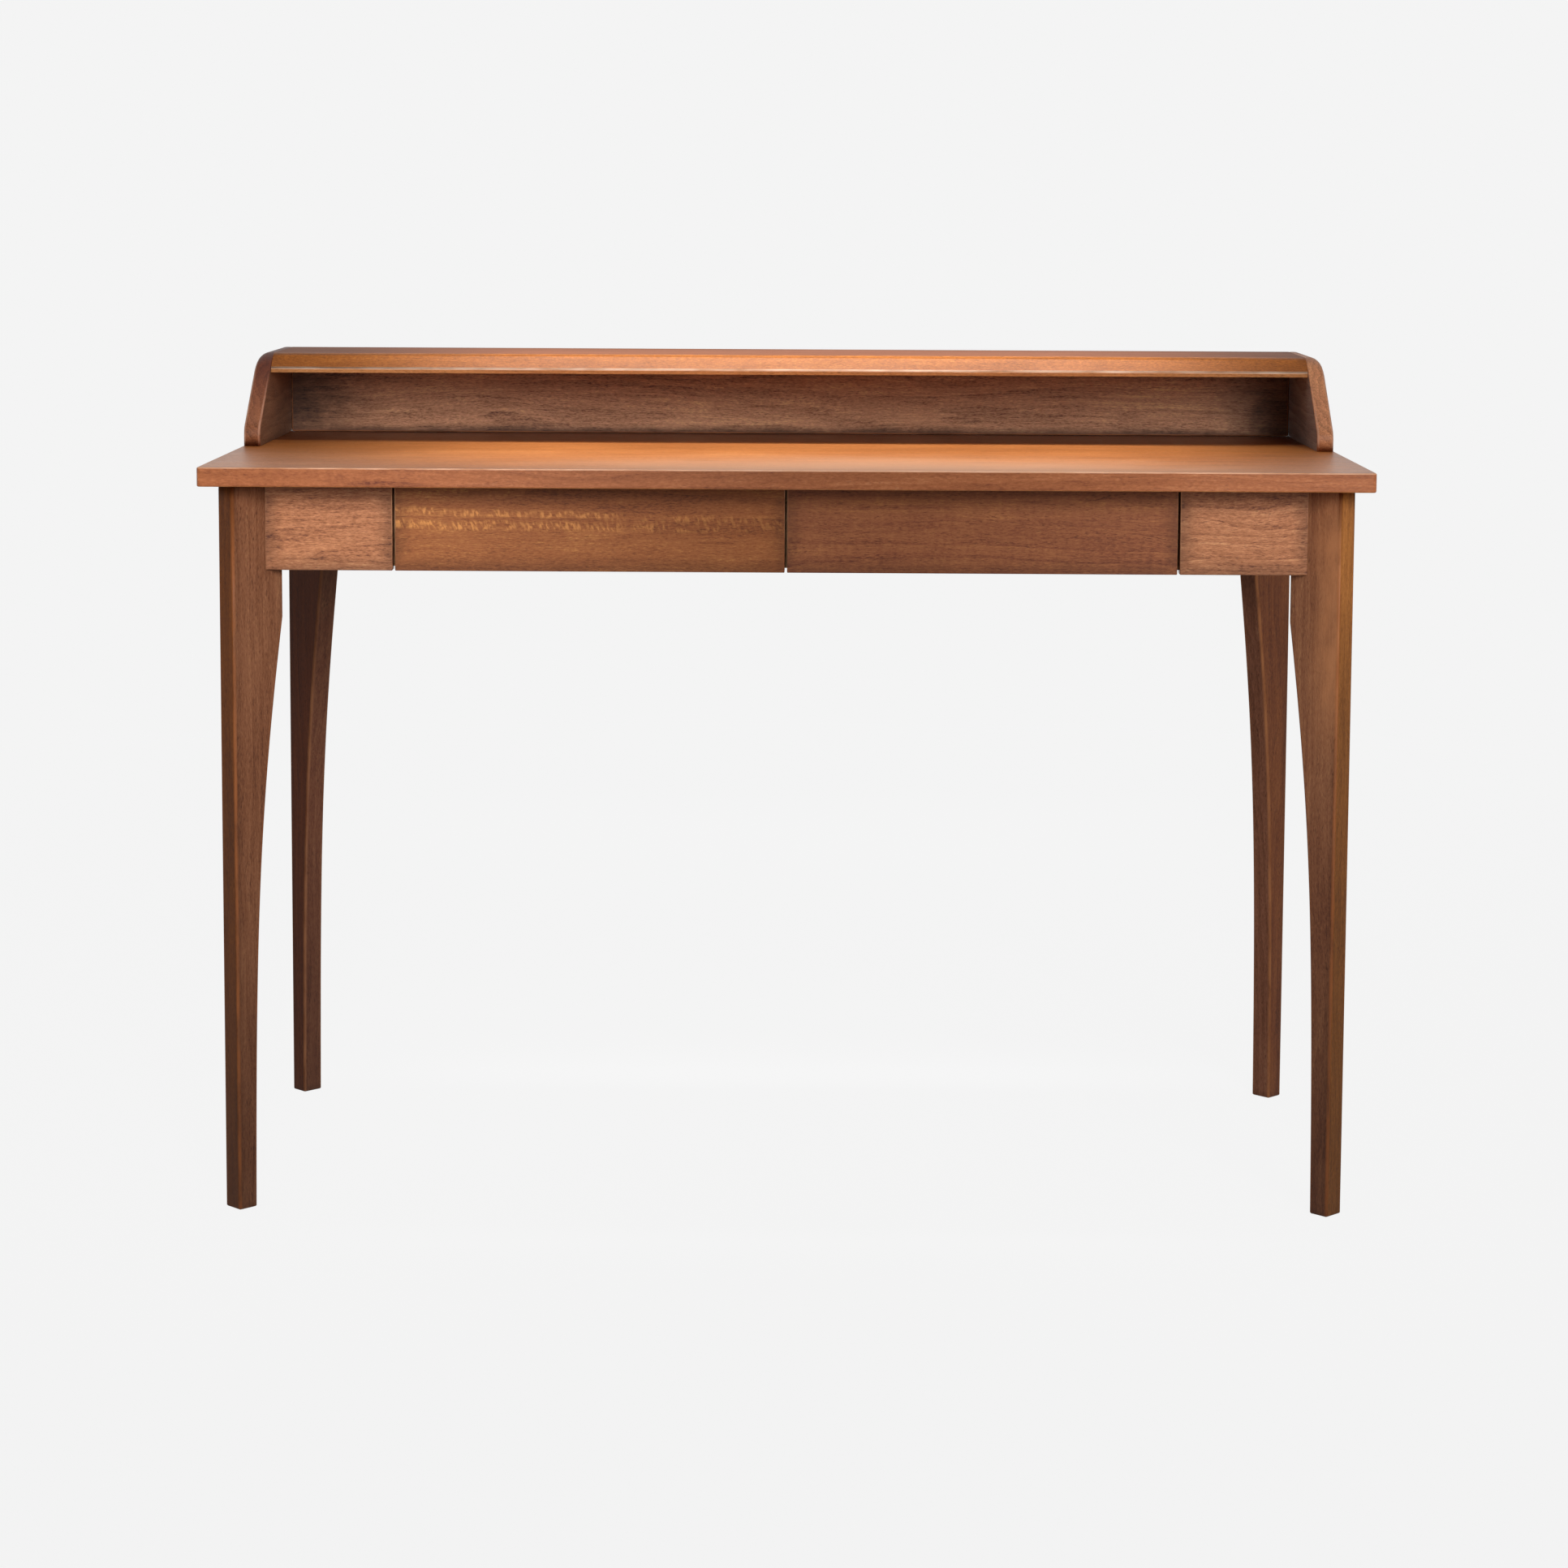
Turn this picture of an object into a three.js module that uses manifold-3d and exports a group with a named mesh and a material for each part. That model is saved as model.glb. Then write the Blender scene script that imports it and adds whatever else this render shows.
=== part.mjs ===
// A computer desk: a writing table on four tapered legs that stand on the diagonal, with two drawers in
// its front and a low shelf along the back of its tabletop.
// Millimetres, +Z up, the front towards -Y, the origin on the floor under the middle of the tabletop.
import * as THREE from "three";
import { mergeVertices } from "three/addons/utils/BufferGeometryUtils.js";
import Module from "manifold-3d";

const wasm = await Module();
wasm.setup();

// Fits
const glueGap = 0.3; // between two pieces that are glued, screwed or rest on each other
const overrun = 5; // how far a cutting shape passes the face that it opens

// Facets of the curved shapes
const rodSides = 16;
const nutSides = 6;
const arrisSteps = 2;
const roundSteps = 5;
const taperSteps = 14;

// Tabletop
const deskWidth = 1200;
const deskDepth = 550;
const deskHeight = 780; // floor to the tabletop's upper face
const topThickness = 20;
const topCornerRadius = 5;
const topArris = 1.5;

// Legs: flat boards that stand on the diagonal, with a narrow edge facing out of each corner
const legThickness = 25;
const legWidth = 63.5; // on the diagonal, above the knee
const footWidth = 22.5; // on the diagonal, at the floor
const legArris = 2;
const legEndInset = 33; // tabletop's end to the leg's ridge
const legFrontInset = 21.5; // tabletop's front edge to the front ridge
const legBackInset = 2; // tabletop's back edge to the rear ridge
const kneeDrop = 50; // apron's lower edge to the knee, where the taper starts
const legPast = 10.4; // how far the leg's inner edge passes the corner of the aprons' back faces
const taperShares = [
  // how far the taper's two handles are from the foot's width to the leg's, and from the floor to the knee
  [0.22, 0.665],
  [0.073, 0.484],
];

// Aprons and fixed front panels
const apronHeight = 90;
const apronThickness = 18;
const frontPanelLength = 133.6; // leg's face to the middle of the gap beside the drawer
const frontArris = 1; // on the edges of the fixed panels and the drawer fronts

// Dividers and front rail
const dividerThickness = 18;
const dividerRise = 3; // apron's lower edge to the divider's
const railDepth = 40;
const railThickness = 18;

// Corner blocks, their hanger bolts and their screws into the tabletop
const blockThickness = 40; // on the diagonal
const blockHeight = 62;
const boltRadius = 4;
const boltClearance = 0.5; // between a bolt and the wall of its hole
const boltSeatShare = 0.55; // share of the leg's width that the bolt goes into
const boltLevelShares = [0.25, 0.75]; // share of the block's height, from its top
const boltEnd = 4; // thread past the nut
const washerRadius = 8;
const washerThickness = 1.6;
const nutRadius = 7.5; // over the corners
const nutThickness = 6.5;
const screwRadius = 2.2;
const screwHeadRadius = 4.5;
const screwHeadThickness = 3;
const screwGrip = 28; // length of the screw in the block
const screwSeatShare = 0.6; // share of the tabletop's thickness that the screw goes into
const screwAcross = 24; // diagonal to the screw
const screwPlaceShare = 0.7; // share of the block's thickness, from the leg

// Drawers, which hang by grooves on wooden runners
const frontReveal = 2.5; // gap between neighbouring fronts
const topReveal = 2; // drawer front's upper edge to the tabletop
const closedGap = 0.5; // drawer front's back to the dividers when it is shut
const boxBackGap = 33.5; // end of the box to the back apron when the drawer is shut
const boxLift = 6; // apron's lower edge to the underside of the box
const boxHeadroom = 3; // upper edge of the box to the front rail
const boxSideGap = 3; // box to the divider
const boxSideThickness = 14;
const boxBackThickness = 12;
const boxBottomThickness = 6;
const boxBottomRise = 6; // underside of the box to the underside of its bottom
const boxBottomTongue = 6; // how far the bottom goes into its grooves
const runnerWidth = 10;
const runnerHeight = 16;
const runnerClearance = 0.5; // above and below the runner in its groove
const runnerEndClearance = 1; // runner's inner face to the bottom of its groove
const runnerFrontInset = 10; // divider's front edge to the runner's end
const boxHeld = 130; // length of the box that stays in its bay when the drawer is fully open
const stopClearance = 1; // left between the box's back and its stop when the drawer is fully open
const stopWidth = 60;
const stopThickness = 16;
const stopCatch = 9; // how far the stop hangs below the upper edge of the box

// Hutch: the low shelf on two shaped sides, closed by a back
const hutchHeight = 98; // tabletop to the shelf's upper face
const hutchSetback = 297; // tabletop's front edge to the sides' front edge
const hutchEndInset = 2; // tabletop's end to the side's outer face
const hutchSideThickness = 18;
const hutchFootRise = 20; // height of the upright part of the sides' front edge
const hutchLean = 104; // how far the front edge leans back from there to the top
const hutchFootRound = 8; // where the front edge starts to lean
const hutchCrownRound = 20; // where it turns into the upper edge
const hutchShoulderRound = 12; // on the outer edge of the sides' top
const hutchArris = 2;
const hutchBackThickness = 15;
const shelfThickness = 21;
const shelfNose = 5.4; // height of the upright strip under the shelf's slanted front
const shelfNoseRound = 1.5;
const dowelRadius = 4;
const dowelLength = 32;
const dowelSeatShare = 0.6; // share of the thinner board's thickness that a dowel goes into
const shelfDowelShares = [0.3, 0.8]; // share of the shelf's depth, from its front
const sideDowelShares = [0.2, 0.85]; // share of the side's length, from its front

// Planes that the pieces share
const half = 1 / 2;
const diagonal = Math.SQRT2;
const frontEdge = -deskDepth * half;
const backEdge = deskDepth * half;
const underTop = deskHeight - topThickness;
const frameTop = underTop - glueGap;
const apronBottom = underTop - apronHeight;
const ridgeX = deskWidth * half - legEndInset;
const frontRidgeY = frontEdge + legFrontInset;
const backRidgeY = backEdge - legBackInset;
// The aprons' back faces meet on the diagonal this far in from the leg's outer edge.
const apronReach = legWidth - legPast;
const apronInset = apronReach / diagonal + (legThickness * half) / diagonal - apronThickness;
const apronFront = frontRidgeY + apronInset;
const apronFrontBack = apronFront + apronThickness;
const apronRear = backRidgeY - apronInset;
const apronRearFace = apronRear - apronThickness;
const apronSide = ridgeX + legThickness / diagonal - apronInset;
const frontHalfLength = ridgeX - apronInset; // middle of the desk to where a front panel meets its leg
const drawerPitch = frontHalfLength - frontPanelLength; // middle of one divider to the next
const dividerFront = apronFrontBack + closedGap;
const railBottom = frameTop - railThickness;

// Finishes: one stained and lacquered hardwood in several tones, raw plywood inside, plated steel
const wood = (color) => new THREE.MeshStandardMaterial({ color, roughness: 0.38, metalness: 0 });
const topWood = wood("#b8713f");
const legWood = wood("#7d4a2c");
const panelWood = wood("#a9683f");
const drawerWood = wood("#8f5631");
const hutchWood = wood("#7a4527");
const innerWood = new THREE.MeshStandardMaterial({ color: "#a9794f", roughness: 0.7, metalness: 0 });
const plywood = new THREE.MeshStandardMaterial({ color: "#b98d62", roughness: 0.75, metalness: 0 });
const steel = new THREE.MeshStandardMaterial({ color: "#c4c2bb", roughness: 0.35, metalness: 1 });

// Bodies and cuts
function bareGeometry(geometry) {
  const bare = geometry.clone();
  bare.deleteAttribute("normal");
  bare.deleteAttribute("uv");
  return mergeVertices(bare);
}

function solidOf(geometry) {
  const bare = bareGeometry(geometry);
  const vertProperties = new Float32Array(bare.attributes.position.array);
  const triVerts = new Uint32Array(bare.index.array);
  return new wasm.Manifold(new wasm.Mesh({ numProp: 3, vertProperties, triVerts }));
}

function geometryOf(solid) {
  const mesh = solid.getMesh();
  const geometry = new THREE.BufferGeometry();
  geometry.setAttribute("position", new THREE.BufferAttribute(mesh.vertProperties, 3));
  geometry.setIndex(new THREE.BufferAttribute(mesh.triVerts, 1));
  const flat = geometry.toNonIndexed();
  flat.computeVertexNormals();
  return flat;
}

function cut(geometry, tools) {
  const opened = tools.reduce((solid, tool) => solid.subtract(solidOf(tool)), solidOf(geometry));
  return geometryOf(opened);
}

function join(geometries) {
  const [first, ...others] = geometries.map(solidOf);
  return geometryOf(others.reduce((solid, other) => solid.add(other), first));
}

// A box between two corners.
function boxBetween(low, high) {
  const size = high.map((value, i) => value - low[i]);
  const middle = high.map((value, i) => (value + low[i]) * half);
  return new THREE.BoxGeometry(...size).translate(...middle);
}

// A closed outline through corners [across, up, round]. A corner's curve starts at the distance round from it.
function softShape(corners) {
  const shape = new THREE.Shape();
  const count = corners.length;
  corners.forEach(([across, up, round = 0], i) => {
    const corner = new THREE.Vector2(across, up);
    const before = new THREE.Vector2(...corners[(i + count - 1) % count]);
    const after = new THREE.Vector2(...corners[(i + 1) % count]);
    const start = corner.clone().add(before.sub(corner).setLength(round));
    const end = corner.clone().add(after.sub(corner).setLength(round));
    if (i === 0) shape.moveTo(start.x, start.y);
    else shape.lineTo(start.x, start.y);
    if (round > 0) shape.quadraticCurveTo(corner.x, corner.y, end.x, end.y);
  });
  shape.closePath();
  return shape;
}

// A board cut to a shape, centred on its thickness, with its arrises eased.
function board(shape, thickness, arris = 0, bevelSegments = 1, curveSegments = roundSteps) {
  const geometry = new THREE.ExtrudeGeometry(shape, {
    depth: thickness - 2 * arris,
    bevelEnabled: arris > 0,
    bevelThickness: arris,
    bevelSize: arris,
    bevelOffset: -arris,
    bevelSegments,
    curveSegments,
  });
  return geometry.translate(0, 0, arris - thickness * half);
}

const along = {
  x: new THREE.Matrix4().set(0, 0, 1, 0, 1, 0, 0, 0, 0, 1, 0, 0, 0, 0, 0, 1),
  y: new THREE.Matrix4().set(1, 0, 0, 0, 0, 0, -1, 0, 0, 1, 0, 0, 0, 0, 0, 1),
};

// The same board with its thickness along X, and its shape in Y and Z.
const boardAcross = (...sizes) => board(...sizes).applyMatrix4(along.x);
// The same board with its thickness along Y, and its shape in X and Z.
const boardUpright = (...sizes) => board(...sizes).applyMatrix4(along.y);

const rectangle = (low, high) =>
  softShape([[low[0], low[1]], [high[0], low[1]], [high[0], high[1]], [low[0], high[1]]]);

// A round bar from one end of an axis to the other.
function rod(radius, from, to, sides = rodSides) {
  return new THREE.CylinderGeometry(radius, radius, to - from, sides).translate(0, (from + to) * half, 0);
}
const rodX = (...sizes) => rod(...sizes).rotateZ(-Math.PI * half);
const rodZ = (...sizes) => rod(...sizes).rotateX(Math.PI * half);

const desk = new THREE.Group();
const sides = [["left", -1], ["right", 1]];
const group = (parent, x = 0, y = 0) => {
  const made = new THREE.Group();
  made.position.set(x, y, 0);
  parent.add(made);
  return made;
};

function addPiece(parent, name, geometry, material) {
  const mesh = new THREE.Mesh(geometry, material);
  mesh.name = name;
  parent.add(mesh);
  return mesh;
}

// Corners: a leg, its corner block, two hanger bolts and a screw share one diagonal frame, whose X runs from
// the leg's outer edge to the middle of the desk and whose Y runs across the leg.
const cornerList = [
  { name: "front_left", side: -1, end: -1 },
  { name: "front_right", side: 1, end: -1 },
  { name: "rear_left", side: -1, end: 1 },
  { name: "rear_right", side: 1, end: 1 },
].map((corner) => ({
  ...corner,
  x: corner.side * (ridgeX + (legThickness * half) / diagonal),
  y: (corner.end < 0 ? frontRidgeY : backRidgeY) - (corner.end * legThickness * half) / diagonal,
  angle: Math.atan2(-corner.end, -corner.side),
}));

const blockStart = legWidth + glueGap;
const blockEnd = blockStart + blockThickness;
const boltLevels = boltLevelShares.map((share) => frameTop - blockHeight * share);
const boltStart = legWidth * (1 - boltSeatShare);
const screwPlace = blockStart + blockThickness * screwPlaceShare;
const screwTip = underTop + topThickness * screwSeatShare;
const screwHeadTop = frameTop - screwGrip;

// The desk's own X and Y of a place in a corner's frame.
function cornerPoint(corner, inwards, across) {
  const turned = new THREE.Vector2(inwards, across).rotateAround(new THREE.Vector2(), corner.angle);
  return [corner.x + turned.x, corner.y + turned.y];
}

function legGeometry() {
  const knee = apronBottom - kneeDrop;
  const handles = taperShares.flatMap(([width, rise]) => [
    footWidth + (legWidth - footWidth) * width,
    knee * rise,
  ]);
  const outline = new THREE.Shape();
  outline.moveTo(0, 0);
  outline.lineTo(footWidth, 0);
  outline.bezierCurveTo(...handles.slice(2), ...handles.slice(0, 2), legWidth, knee);
  outline.lineTo(legWidth, frameTop);
  outline.lineTo(0, frameTop);
  outline.closePath();
  const blank = boardUpright(outline, legThickness, legArris, arrisSteps, taperSteps);
  const holes = boltLevels.map((level) =>
    rodX(boltRadius + boltClearance, boltStart - glueGap, legWidth + overrun).translate(0, 0, level),
  );
  return cut(blank, holes);
}

function blockGeometry() {
  const reachAt = (inwards) => inwards - apronReach - glueGap * diagonal;
  const outline = softShape([
    [blockStart, -reachAt(blockStart)],
    [blockEnd, -reachAt(blockEnd)],
    [blockEnd, reachAt(blockEnd)],
    [blockStart, reachAt(blockStart)],
  ]);
  const blank = board(outline, blockHeight).translate(0, 0, frameTop - blockHeight * half);
  const boltHoles = boltLevels.map((level) =>
    rodX(boltRadius + boltClearance, blockStart - overrun, blockEnd + overrun).translate(0, 0, level),
  );
  const shankHole = rodZ(screwRadius + glueGap, screwHeadTop - overrun, frameTop + overrun);
  const headHole = rodZ(screwHeadRadius + glueGap, frameTop - blockHeight - overrun, screwHeadTop);
  const screwHoles = [shankHole, headHole].map((hole) => hole.translate(screwPlace, screwAcross, 0));
  return cut(blank, [...boltHoles, ...screwHoles]);
}

// A hanger bolt with its washer and nut, along X.
function boltGeometry() {
  const washerStart = blockEnd + glueGap;
  const nutStart = washerStart + washerThickness;
  const nutEnd = nutStart + nutThickness;
  return join([
    rodX(boltRadius, boltStart, nutEnd + boltEnd),
    rodX(washerRadius, washerStart, nutStart),
    rodX(nutRadius, nutStart, nutEnd, nutSides),
  ]);
}

function screwGeometry() {
  return join([
    rodZ(screwRadius, screwHeadTop - screwHeadThickness * half, screwTip),
    rodZ(screwHeadRadius, screwHeadTop - screwHeadThickness, screwHeadTop - glueGap),
  ]);
}

const frame = group(desk);
for (const corner of cornerList) {
  const place = group(frame, corner.x, corner.y);
  place.rotation.z = corner.angle;
  addPiece(place, "leg_" + corner.name, legGeometry(), legWood);
  addPiece(place, "corner_block_" + corner.name, blockGeometry(), innerWood);
  boltLevels.forEach((level, i) => {
    const name = "hanger_bolt_" + corner.name + "_" + ["upper", "lower"][i];
    addPiece(place, name, boltGeometry(), steel).position.z = level;
  });
  const screw = addPiece(place, "top_screw_" + corner.name, screwGeometry(), steel);
  screw.position.set(screwPlace, screwAcross, 0);
}

// Aprons and fixed front panels, whose ends are mitred to the legs' broad faces

// Everything past one broad face of a corner's leg, where side is the face's direction across the leg.
function pastLegFace(corner, side) {
  const reach = deskWidth + deskDepth;
  const face = side * (legThickness * half + glueGap);
  const block = new THREE.BoxGeometry(reach, reach, reach);
  return block
    .translate(0, face - side * reach * half, apronBottom)
    .rotateZ(corner.angle)
    .translate(corner.x, corner.y, 0);
}
const mitreForFront = (corner) => pastLegFace(corner, -corner.side * corner.end);
const mitreForEnd = (corner) => pastLegFace(corner, corner.side * corner.end);
const cornerNamed = (name) => cornerList.find((corner) => corner.name === name);

for (const [name, side] of sides) {
  const edges = [side * ridgeX, side * (drawerPitch + frontReveal * half)].sort((a, b) => a - b);
  const outline = rectangle([edges[0], apronBottom], [edges[1], frameTop]);
  const panel = boardUpright(outline, apronThickness, frontArris);
  const placed = panel.translate(0, (apronFront + apronFrontBack) * half, 0);
  const mitred = cut(placed, [mitreForFront(cornerNamed("front_" + name))]);
  addPiece(frame, "front_panel_" + name, mitred, panelWood);

  const faces = [side * apronSide, side * (apronSide - apronThickness)].sort((a, b) => a - b);
  const blank = boxBetween([faces[0], frontEdge, apronBottom], [faces[1], backEdge, frameTop]);
  const ends = ["front_", "rear_"].map((end) => mitreForEnd(cornerNamed(end + name)));
  addPiece(frame, "side_apron_" + name, cut(blank, ends), panelWood);
}

const backBlank = boxBetween([-ridgeX, apronRearFace, apronBottom], [ridgeX, apronRear, frameTop]);
const backEnds = ["rear_left", "rear_right"].map((name) => mitreForFront(cornerNamed(name)));
addPiece(frame, "back_apron", cut(backBlank, backEnds), panelWood);

// Front rail, behind the drawer fronts and flat under the tabletop
const railBack = dividerFront + railDepth;
const blockCorner = cornerPoint(cornerNamed("front_right"), blockEnd, blockEnd - apronReach)[0];
const railEnd = blockCorner - glueGap * diagonal;
addPiece(
  frame,
  "front_rail",
  boxBetween([-railEnd, apronFrontBack + glueGap, railBottom], [railEnd, railBack, frameTop]),
  innerWood,
);

// Dividers, which are notched round the rail and carry the runners
const dividerBottom = apronBottom + dividerRise;
const dividerBack = apronRearFace - glueGap;
const notchBottom = railBottom - glueGap;
const notchBack = railBack + glueGap;
const dividerShape = softShape([
  [dividerFront, dividerBottom],
  [dividerBack, dividerBottom],
  [dividerBack, frameTop],
  [notchBack, frameTop],
  [notchBack, notchBottom],
  [dividerFront, notchBottom],
]);
const dividerPlaces = [["left", -drawerPitch], ["middle", 0], ["right", drawerPitch]];
for (const [name, x] of dividerPlaces) {
  const divider = addPiece(frame, "divider_" + name, boardAcross(dividerShape, dividerThickness), innerWood);
  divider.position.x = x;
}

// Drawers
const boxBottom = apronBottom + boxLift;
const boxTop = railBottom - boxHeadroom;
const boxHalfWidth = (drawerPitch - dividerThickness) * half - boxSideGap;
const boxInside = boxHalfWidth - boxSideThickness;
const boxMiddle = (boxBottom + boxTop) * half;
const boxLength = apronRearFace - boxBackGap - apronFrontBack;
const drawerTravel = boxLength - boxHeld;
const boxStart = glueGap; // behind the front's back face
const boxBackStart = boxLength - boxBackThickness;
const bottomLow = boxBottom + boxBottomRise;
const bottomHigh = bottomLow + boxBottomThickness;
const grooveDepth = boxBottomTongue + glueGap;
const frontTop = underTop - topReveal;
const frontHalfWidth = (drawerPitch - frontReveal) * half;

// A side of the drawer box: a groove outside for the runner and one inside for the bottom.
function drawerSideGeometry(side) {
  const outer = side * boxHalfWidth;
  const inner = side * boxInside;
  const runnerFloor = outer - side * (runnerWidth + glueGap - boxSideGap + runnerEndClearance);
  const bottomFloor = inner + side * grooveDepth;
  const runnerLow = boxMiddle - runnerHeight * half - runnerClearance;
  const runnerHigh = boxMiddle + runnerHeight * half + runnerClearance;
  const corners = [
    [outer, boxBottom],
    [outer, runnerLow],
    [runnerFloor, runnerLow],
    [runnerFloor, runnerHigh],
    [outer, runnerHigh],
    [outer, boxTop],
    [inner, boxTop],
    [inner, bottomHigh + glueGap],
    [bottomFloor, bottomHigh + glueGap],
    [bottomFloor, bottomLow - glueGap],
    [inner, bottomLow - glueGap],
    [inner, boxBottom],
  ];
  const plank = boardUpright(softShape(corners), boxLength - boxStart);
  return plank.translate(0, (boxLength + boxStart) * half, 0);
}

function drawerFrontGeometry() {
  const outline = rectangle([-frontHalfWidth, apronBottom], [frontHalfWidth, frontTop]);
  const blank = boardUpright(outline, apronThickness, frontArris).translate(0, -apronThickness * half, 0);
  const grooveEnd = boxInside + grooveDepth;
  const groove = boxBetween(
    [-grooveEnd, -grooveDepth, bottomLow - glueGap],
    [grooveEnd, overrun, bottomHigh + glueGap],
  );
  return cut(blank, [groove]);
}

for (const [name, side] of sides) {
  const prefix = "drawer_" + name + "_";
  const drawer = group(desk, side * drawerPitch * half, apronFrontBack);
  addPiece(drawer, prefix + "front", drawerFrontGeometry(), drawerWood);
  addPiece(drawer, prefix + "side_left", drawerSideGeometry(-1), innerWood);
  addPiece(drawer, prefix + "side_right", drawerSideGeometry(1), innerWood);
  const backWidth = boxInside - glueGap;
  const back = boxBetween([-backWidth, boxBackStart, bottomHigh + glueGap], [backWidth, boxLength, boxTop]);
  addPiece(drawer, prefix + "back", back, innerWood);
  const bottomWidth = boxInside + boxBottomTongue;
  const bottom = boxBetween(
    [-bottomWidth, -boxBottomTongue, bottomLow],
    [bottomWidth, boxLength, bottomHigh],
  );
  addPiece(drawer, prefix + "bottom", bottom, plywood);

  // On the frame: the stop under the tabletop that catches the box's back, and the drawer's two runners
  const stopBack = apronFrontBack + boxBackStart - drawerTravel - stopClearance;
  const stop = boxBetween(
    [-stopWidth * half, stopBack - stopThickness, boxTop - stopCatch],
    [stopWidth * half, stopBack, frameTop],
  );
  addPiece(frame, "drawer_stop_" + name, stop, innerWood).position.x = side * drawerPitch * half;
  for (const [runnerName, runnerSide] of sides) {
    const wall = (drawerPitch - dividerThickness) * half - glueGap;
    const faces = [runnerSide * wall, runnerSide * (wall - runnerWidth)].sort((a, b) => a - b);
    const runner = boxBetween(
      [faces[0], dividerFront + runnerFrontInset, boxMiddle - runnerHeight * half],
      [faces[1], dividerBack, boxMiddle + runnerHeight * half],
    );
    const runnerPiece = addPiece(frame, "runner_" + name + "_drawer_" + runnerName, runner, innerWood);
    runnerPiece.position.x = side * drawerPitch * half;
  }
}

// Hutch
const hutchBottom = deskHeight + glueGap;
const hutchTop = deskHeight + hutchHeight;
const hutchFront = frontEdge + hutchSetback;
const hutchOuter = deskWidth * half - hutchEndInset;
const hutchInner = hutchOuter - hutchSideThickness;
const leanStart = deskHeight + hutchFootRise;
const leanAt = (z) => hutchFront + (hutchLean * (z - leanStart)) / (hutchTop - leanStart);
const shelfBottom = hutchTop - shelfThickness;
const shelfRidge = shelfBottom + shelfNose;
const shelfFront = leanAt(shelfRidge);
const shelfMiddle = (shelfBottom + hutchTop) * half;
const sideMiddle = (hutchOuter + hutchInner) * half;
const seatInSide = hutchSideThickness * dowelSeatShare;
const seatInTop = topThickness * dowelSeatShare;
const holeRadius = dowelRadius + glueGap;

const shelfDowelPlaces = shelfDowelShares.map((share) => shelfFront + (backEdge - shelfFront) * share);
const sideDowelPlaces = sideDowelShares.map((share) => hutchFront + (backEdge - hutchFront) * share);
// The shelf's dowels lie along X, with their outer end in the side. The others stand up from the tabletop.
const shelfDowelEnd = hutchInner + seatInSide;
const shelfDowelStart = shelfDowelEnd - dowelLength;
const footDowelStart = deskHeight - seatInTop;
const footDowelEnd = footDowelStart + dowelLength;

const hutch = group(desk);
const sideShape = softShape([
  [backEdge, hutchBottom],
  [backEdge, hutchTop],
  [hutchFront + hutchLean, hutchTop, hutchCrownRound],
  [hutchFront, leanStart, hutchFootRound],
  [hutchFront, hutchBottom],
]);
const shelfShape = softShape([
  [backEdge, shelfBottom],
  [backEdge, hutchTop],
  [hutchFront + hutchLean, hutchTop, hutchCrownRound],
  [shelfFront, shelfRidge, shelfNoseRound],
  [shelfFront, shelfBottom, shelfNoseRound],
]);

// What the round shoulder takes off the outer edge of a side's top, along the whole side.
function shoulderCutter(side) {
  const centre = [side * (hutchOuter - hutchShoulderRound), hutchTop - hutchShoulderRound];
  const past = [side * (hutchOuter + overrun), hutchTop + overrun];
  const outline = new THREE.Shape();
  outline.moveTo(centre[0], past[1]);
  outline.lineTo(centre[0], hutchTop);
  outline.absarc(...centre, hutchShoulderRound, Math.PI * half, side > 0 ? 0 : Math.PI, side > 0);
  outline.lineTo(past[0], centre[1]);
  outline.lineTo(past[0], past[1]);
  outline.closePath();
  return boardUpright(outline, deskDepth).translate(0, hutchFront, 0);
}

const shelfHoles = [];
for (const [name, side] of sides) {
  const toSide = (geometry) => geometry.rotateZ(side < 0 ? Math.PI : 0);
  const shelfRods = (radius, slack) =>
    shelfDowelPlaces.map((y) =>
      toSide(rodX(radius, shelfDowelStart - slack, shelfDowelEnd + slack)).translate(0, y, shelfMiddle),
    );
  const footRods = (radius, slack) =>
    sideDowelPlaces.map((y) =>
      rodZ(radius, footDowelStart - slack, footDowelEnd + slack).translate(side * sideMiddle, y, 0),
    );
  const blank = boardAcross(sideShape, hutchSideThickness, hutchArris, arrisSteps);
  const placed = blank.translate(side * sideMiddle, 0, 0);
  const holes = [...shelfRods(holeRadius, glueGap), ...footRods(holeRadius, glueGap)];
  addPiece(hutch, "hutch_side_" + name, cut(placed, [...holes, shoulderCutter(side)]), hutchWood);
  shelfHoles.push(...shelfRods(holeRadius, glueGap));
  shelfRods(dowelRadius, 0).forEach((dowel, i) =>
    addPiece(hutch, "shelf_dowel_" + name + "_" + ["front", "rear"][i], dowel, innerWood),
  );
  footRods(dowelRadius, 0).forEach((dowel, i) =>
    addPiece(hutch, "hutch_dowel_" + name + "_" + ["front", "rear"][i], dowel, innerWood),
  );
}

const shelfLength = 2 * (hutchInner - glueGap);
addPiece(hutch, "hutch_shelf", cut(boardAcross(shelfShape, shelfLength), shelfHoles), topWood);
const panelHalfWidth = hutchInner - glueGap;
const backPanel = boxBetween(
  [-panelHalfWidth, backEdge - hutchBackThickness, hutchBottom],
  [panelHalfWidth, backEdge, shelfBottom - glueGap],
);
addPiece(hutch, "hutch_back", backPanel, hutchWood);

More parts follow.
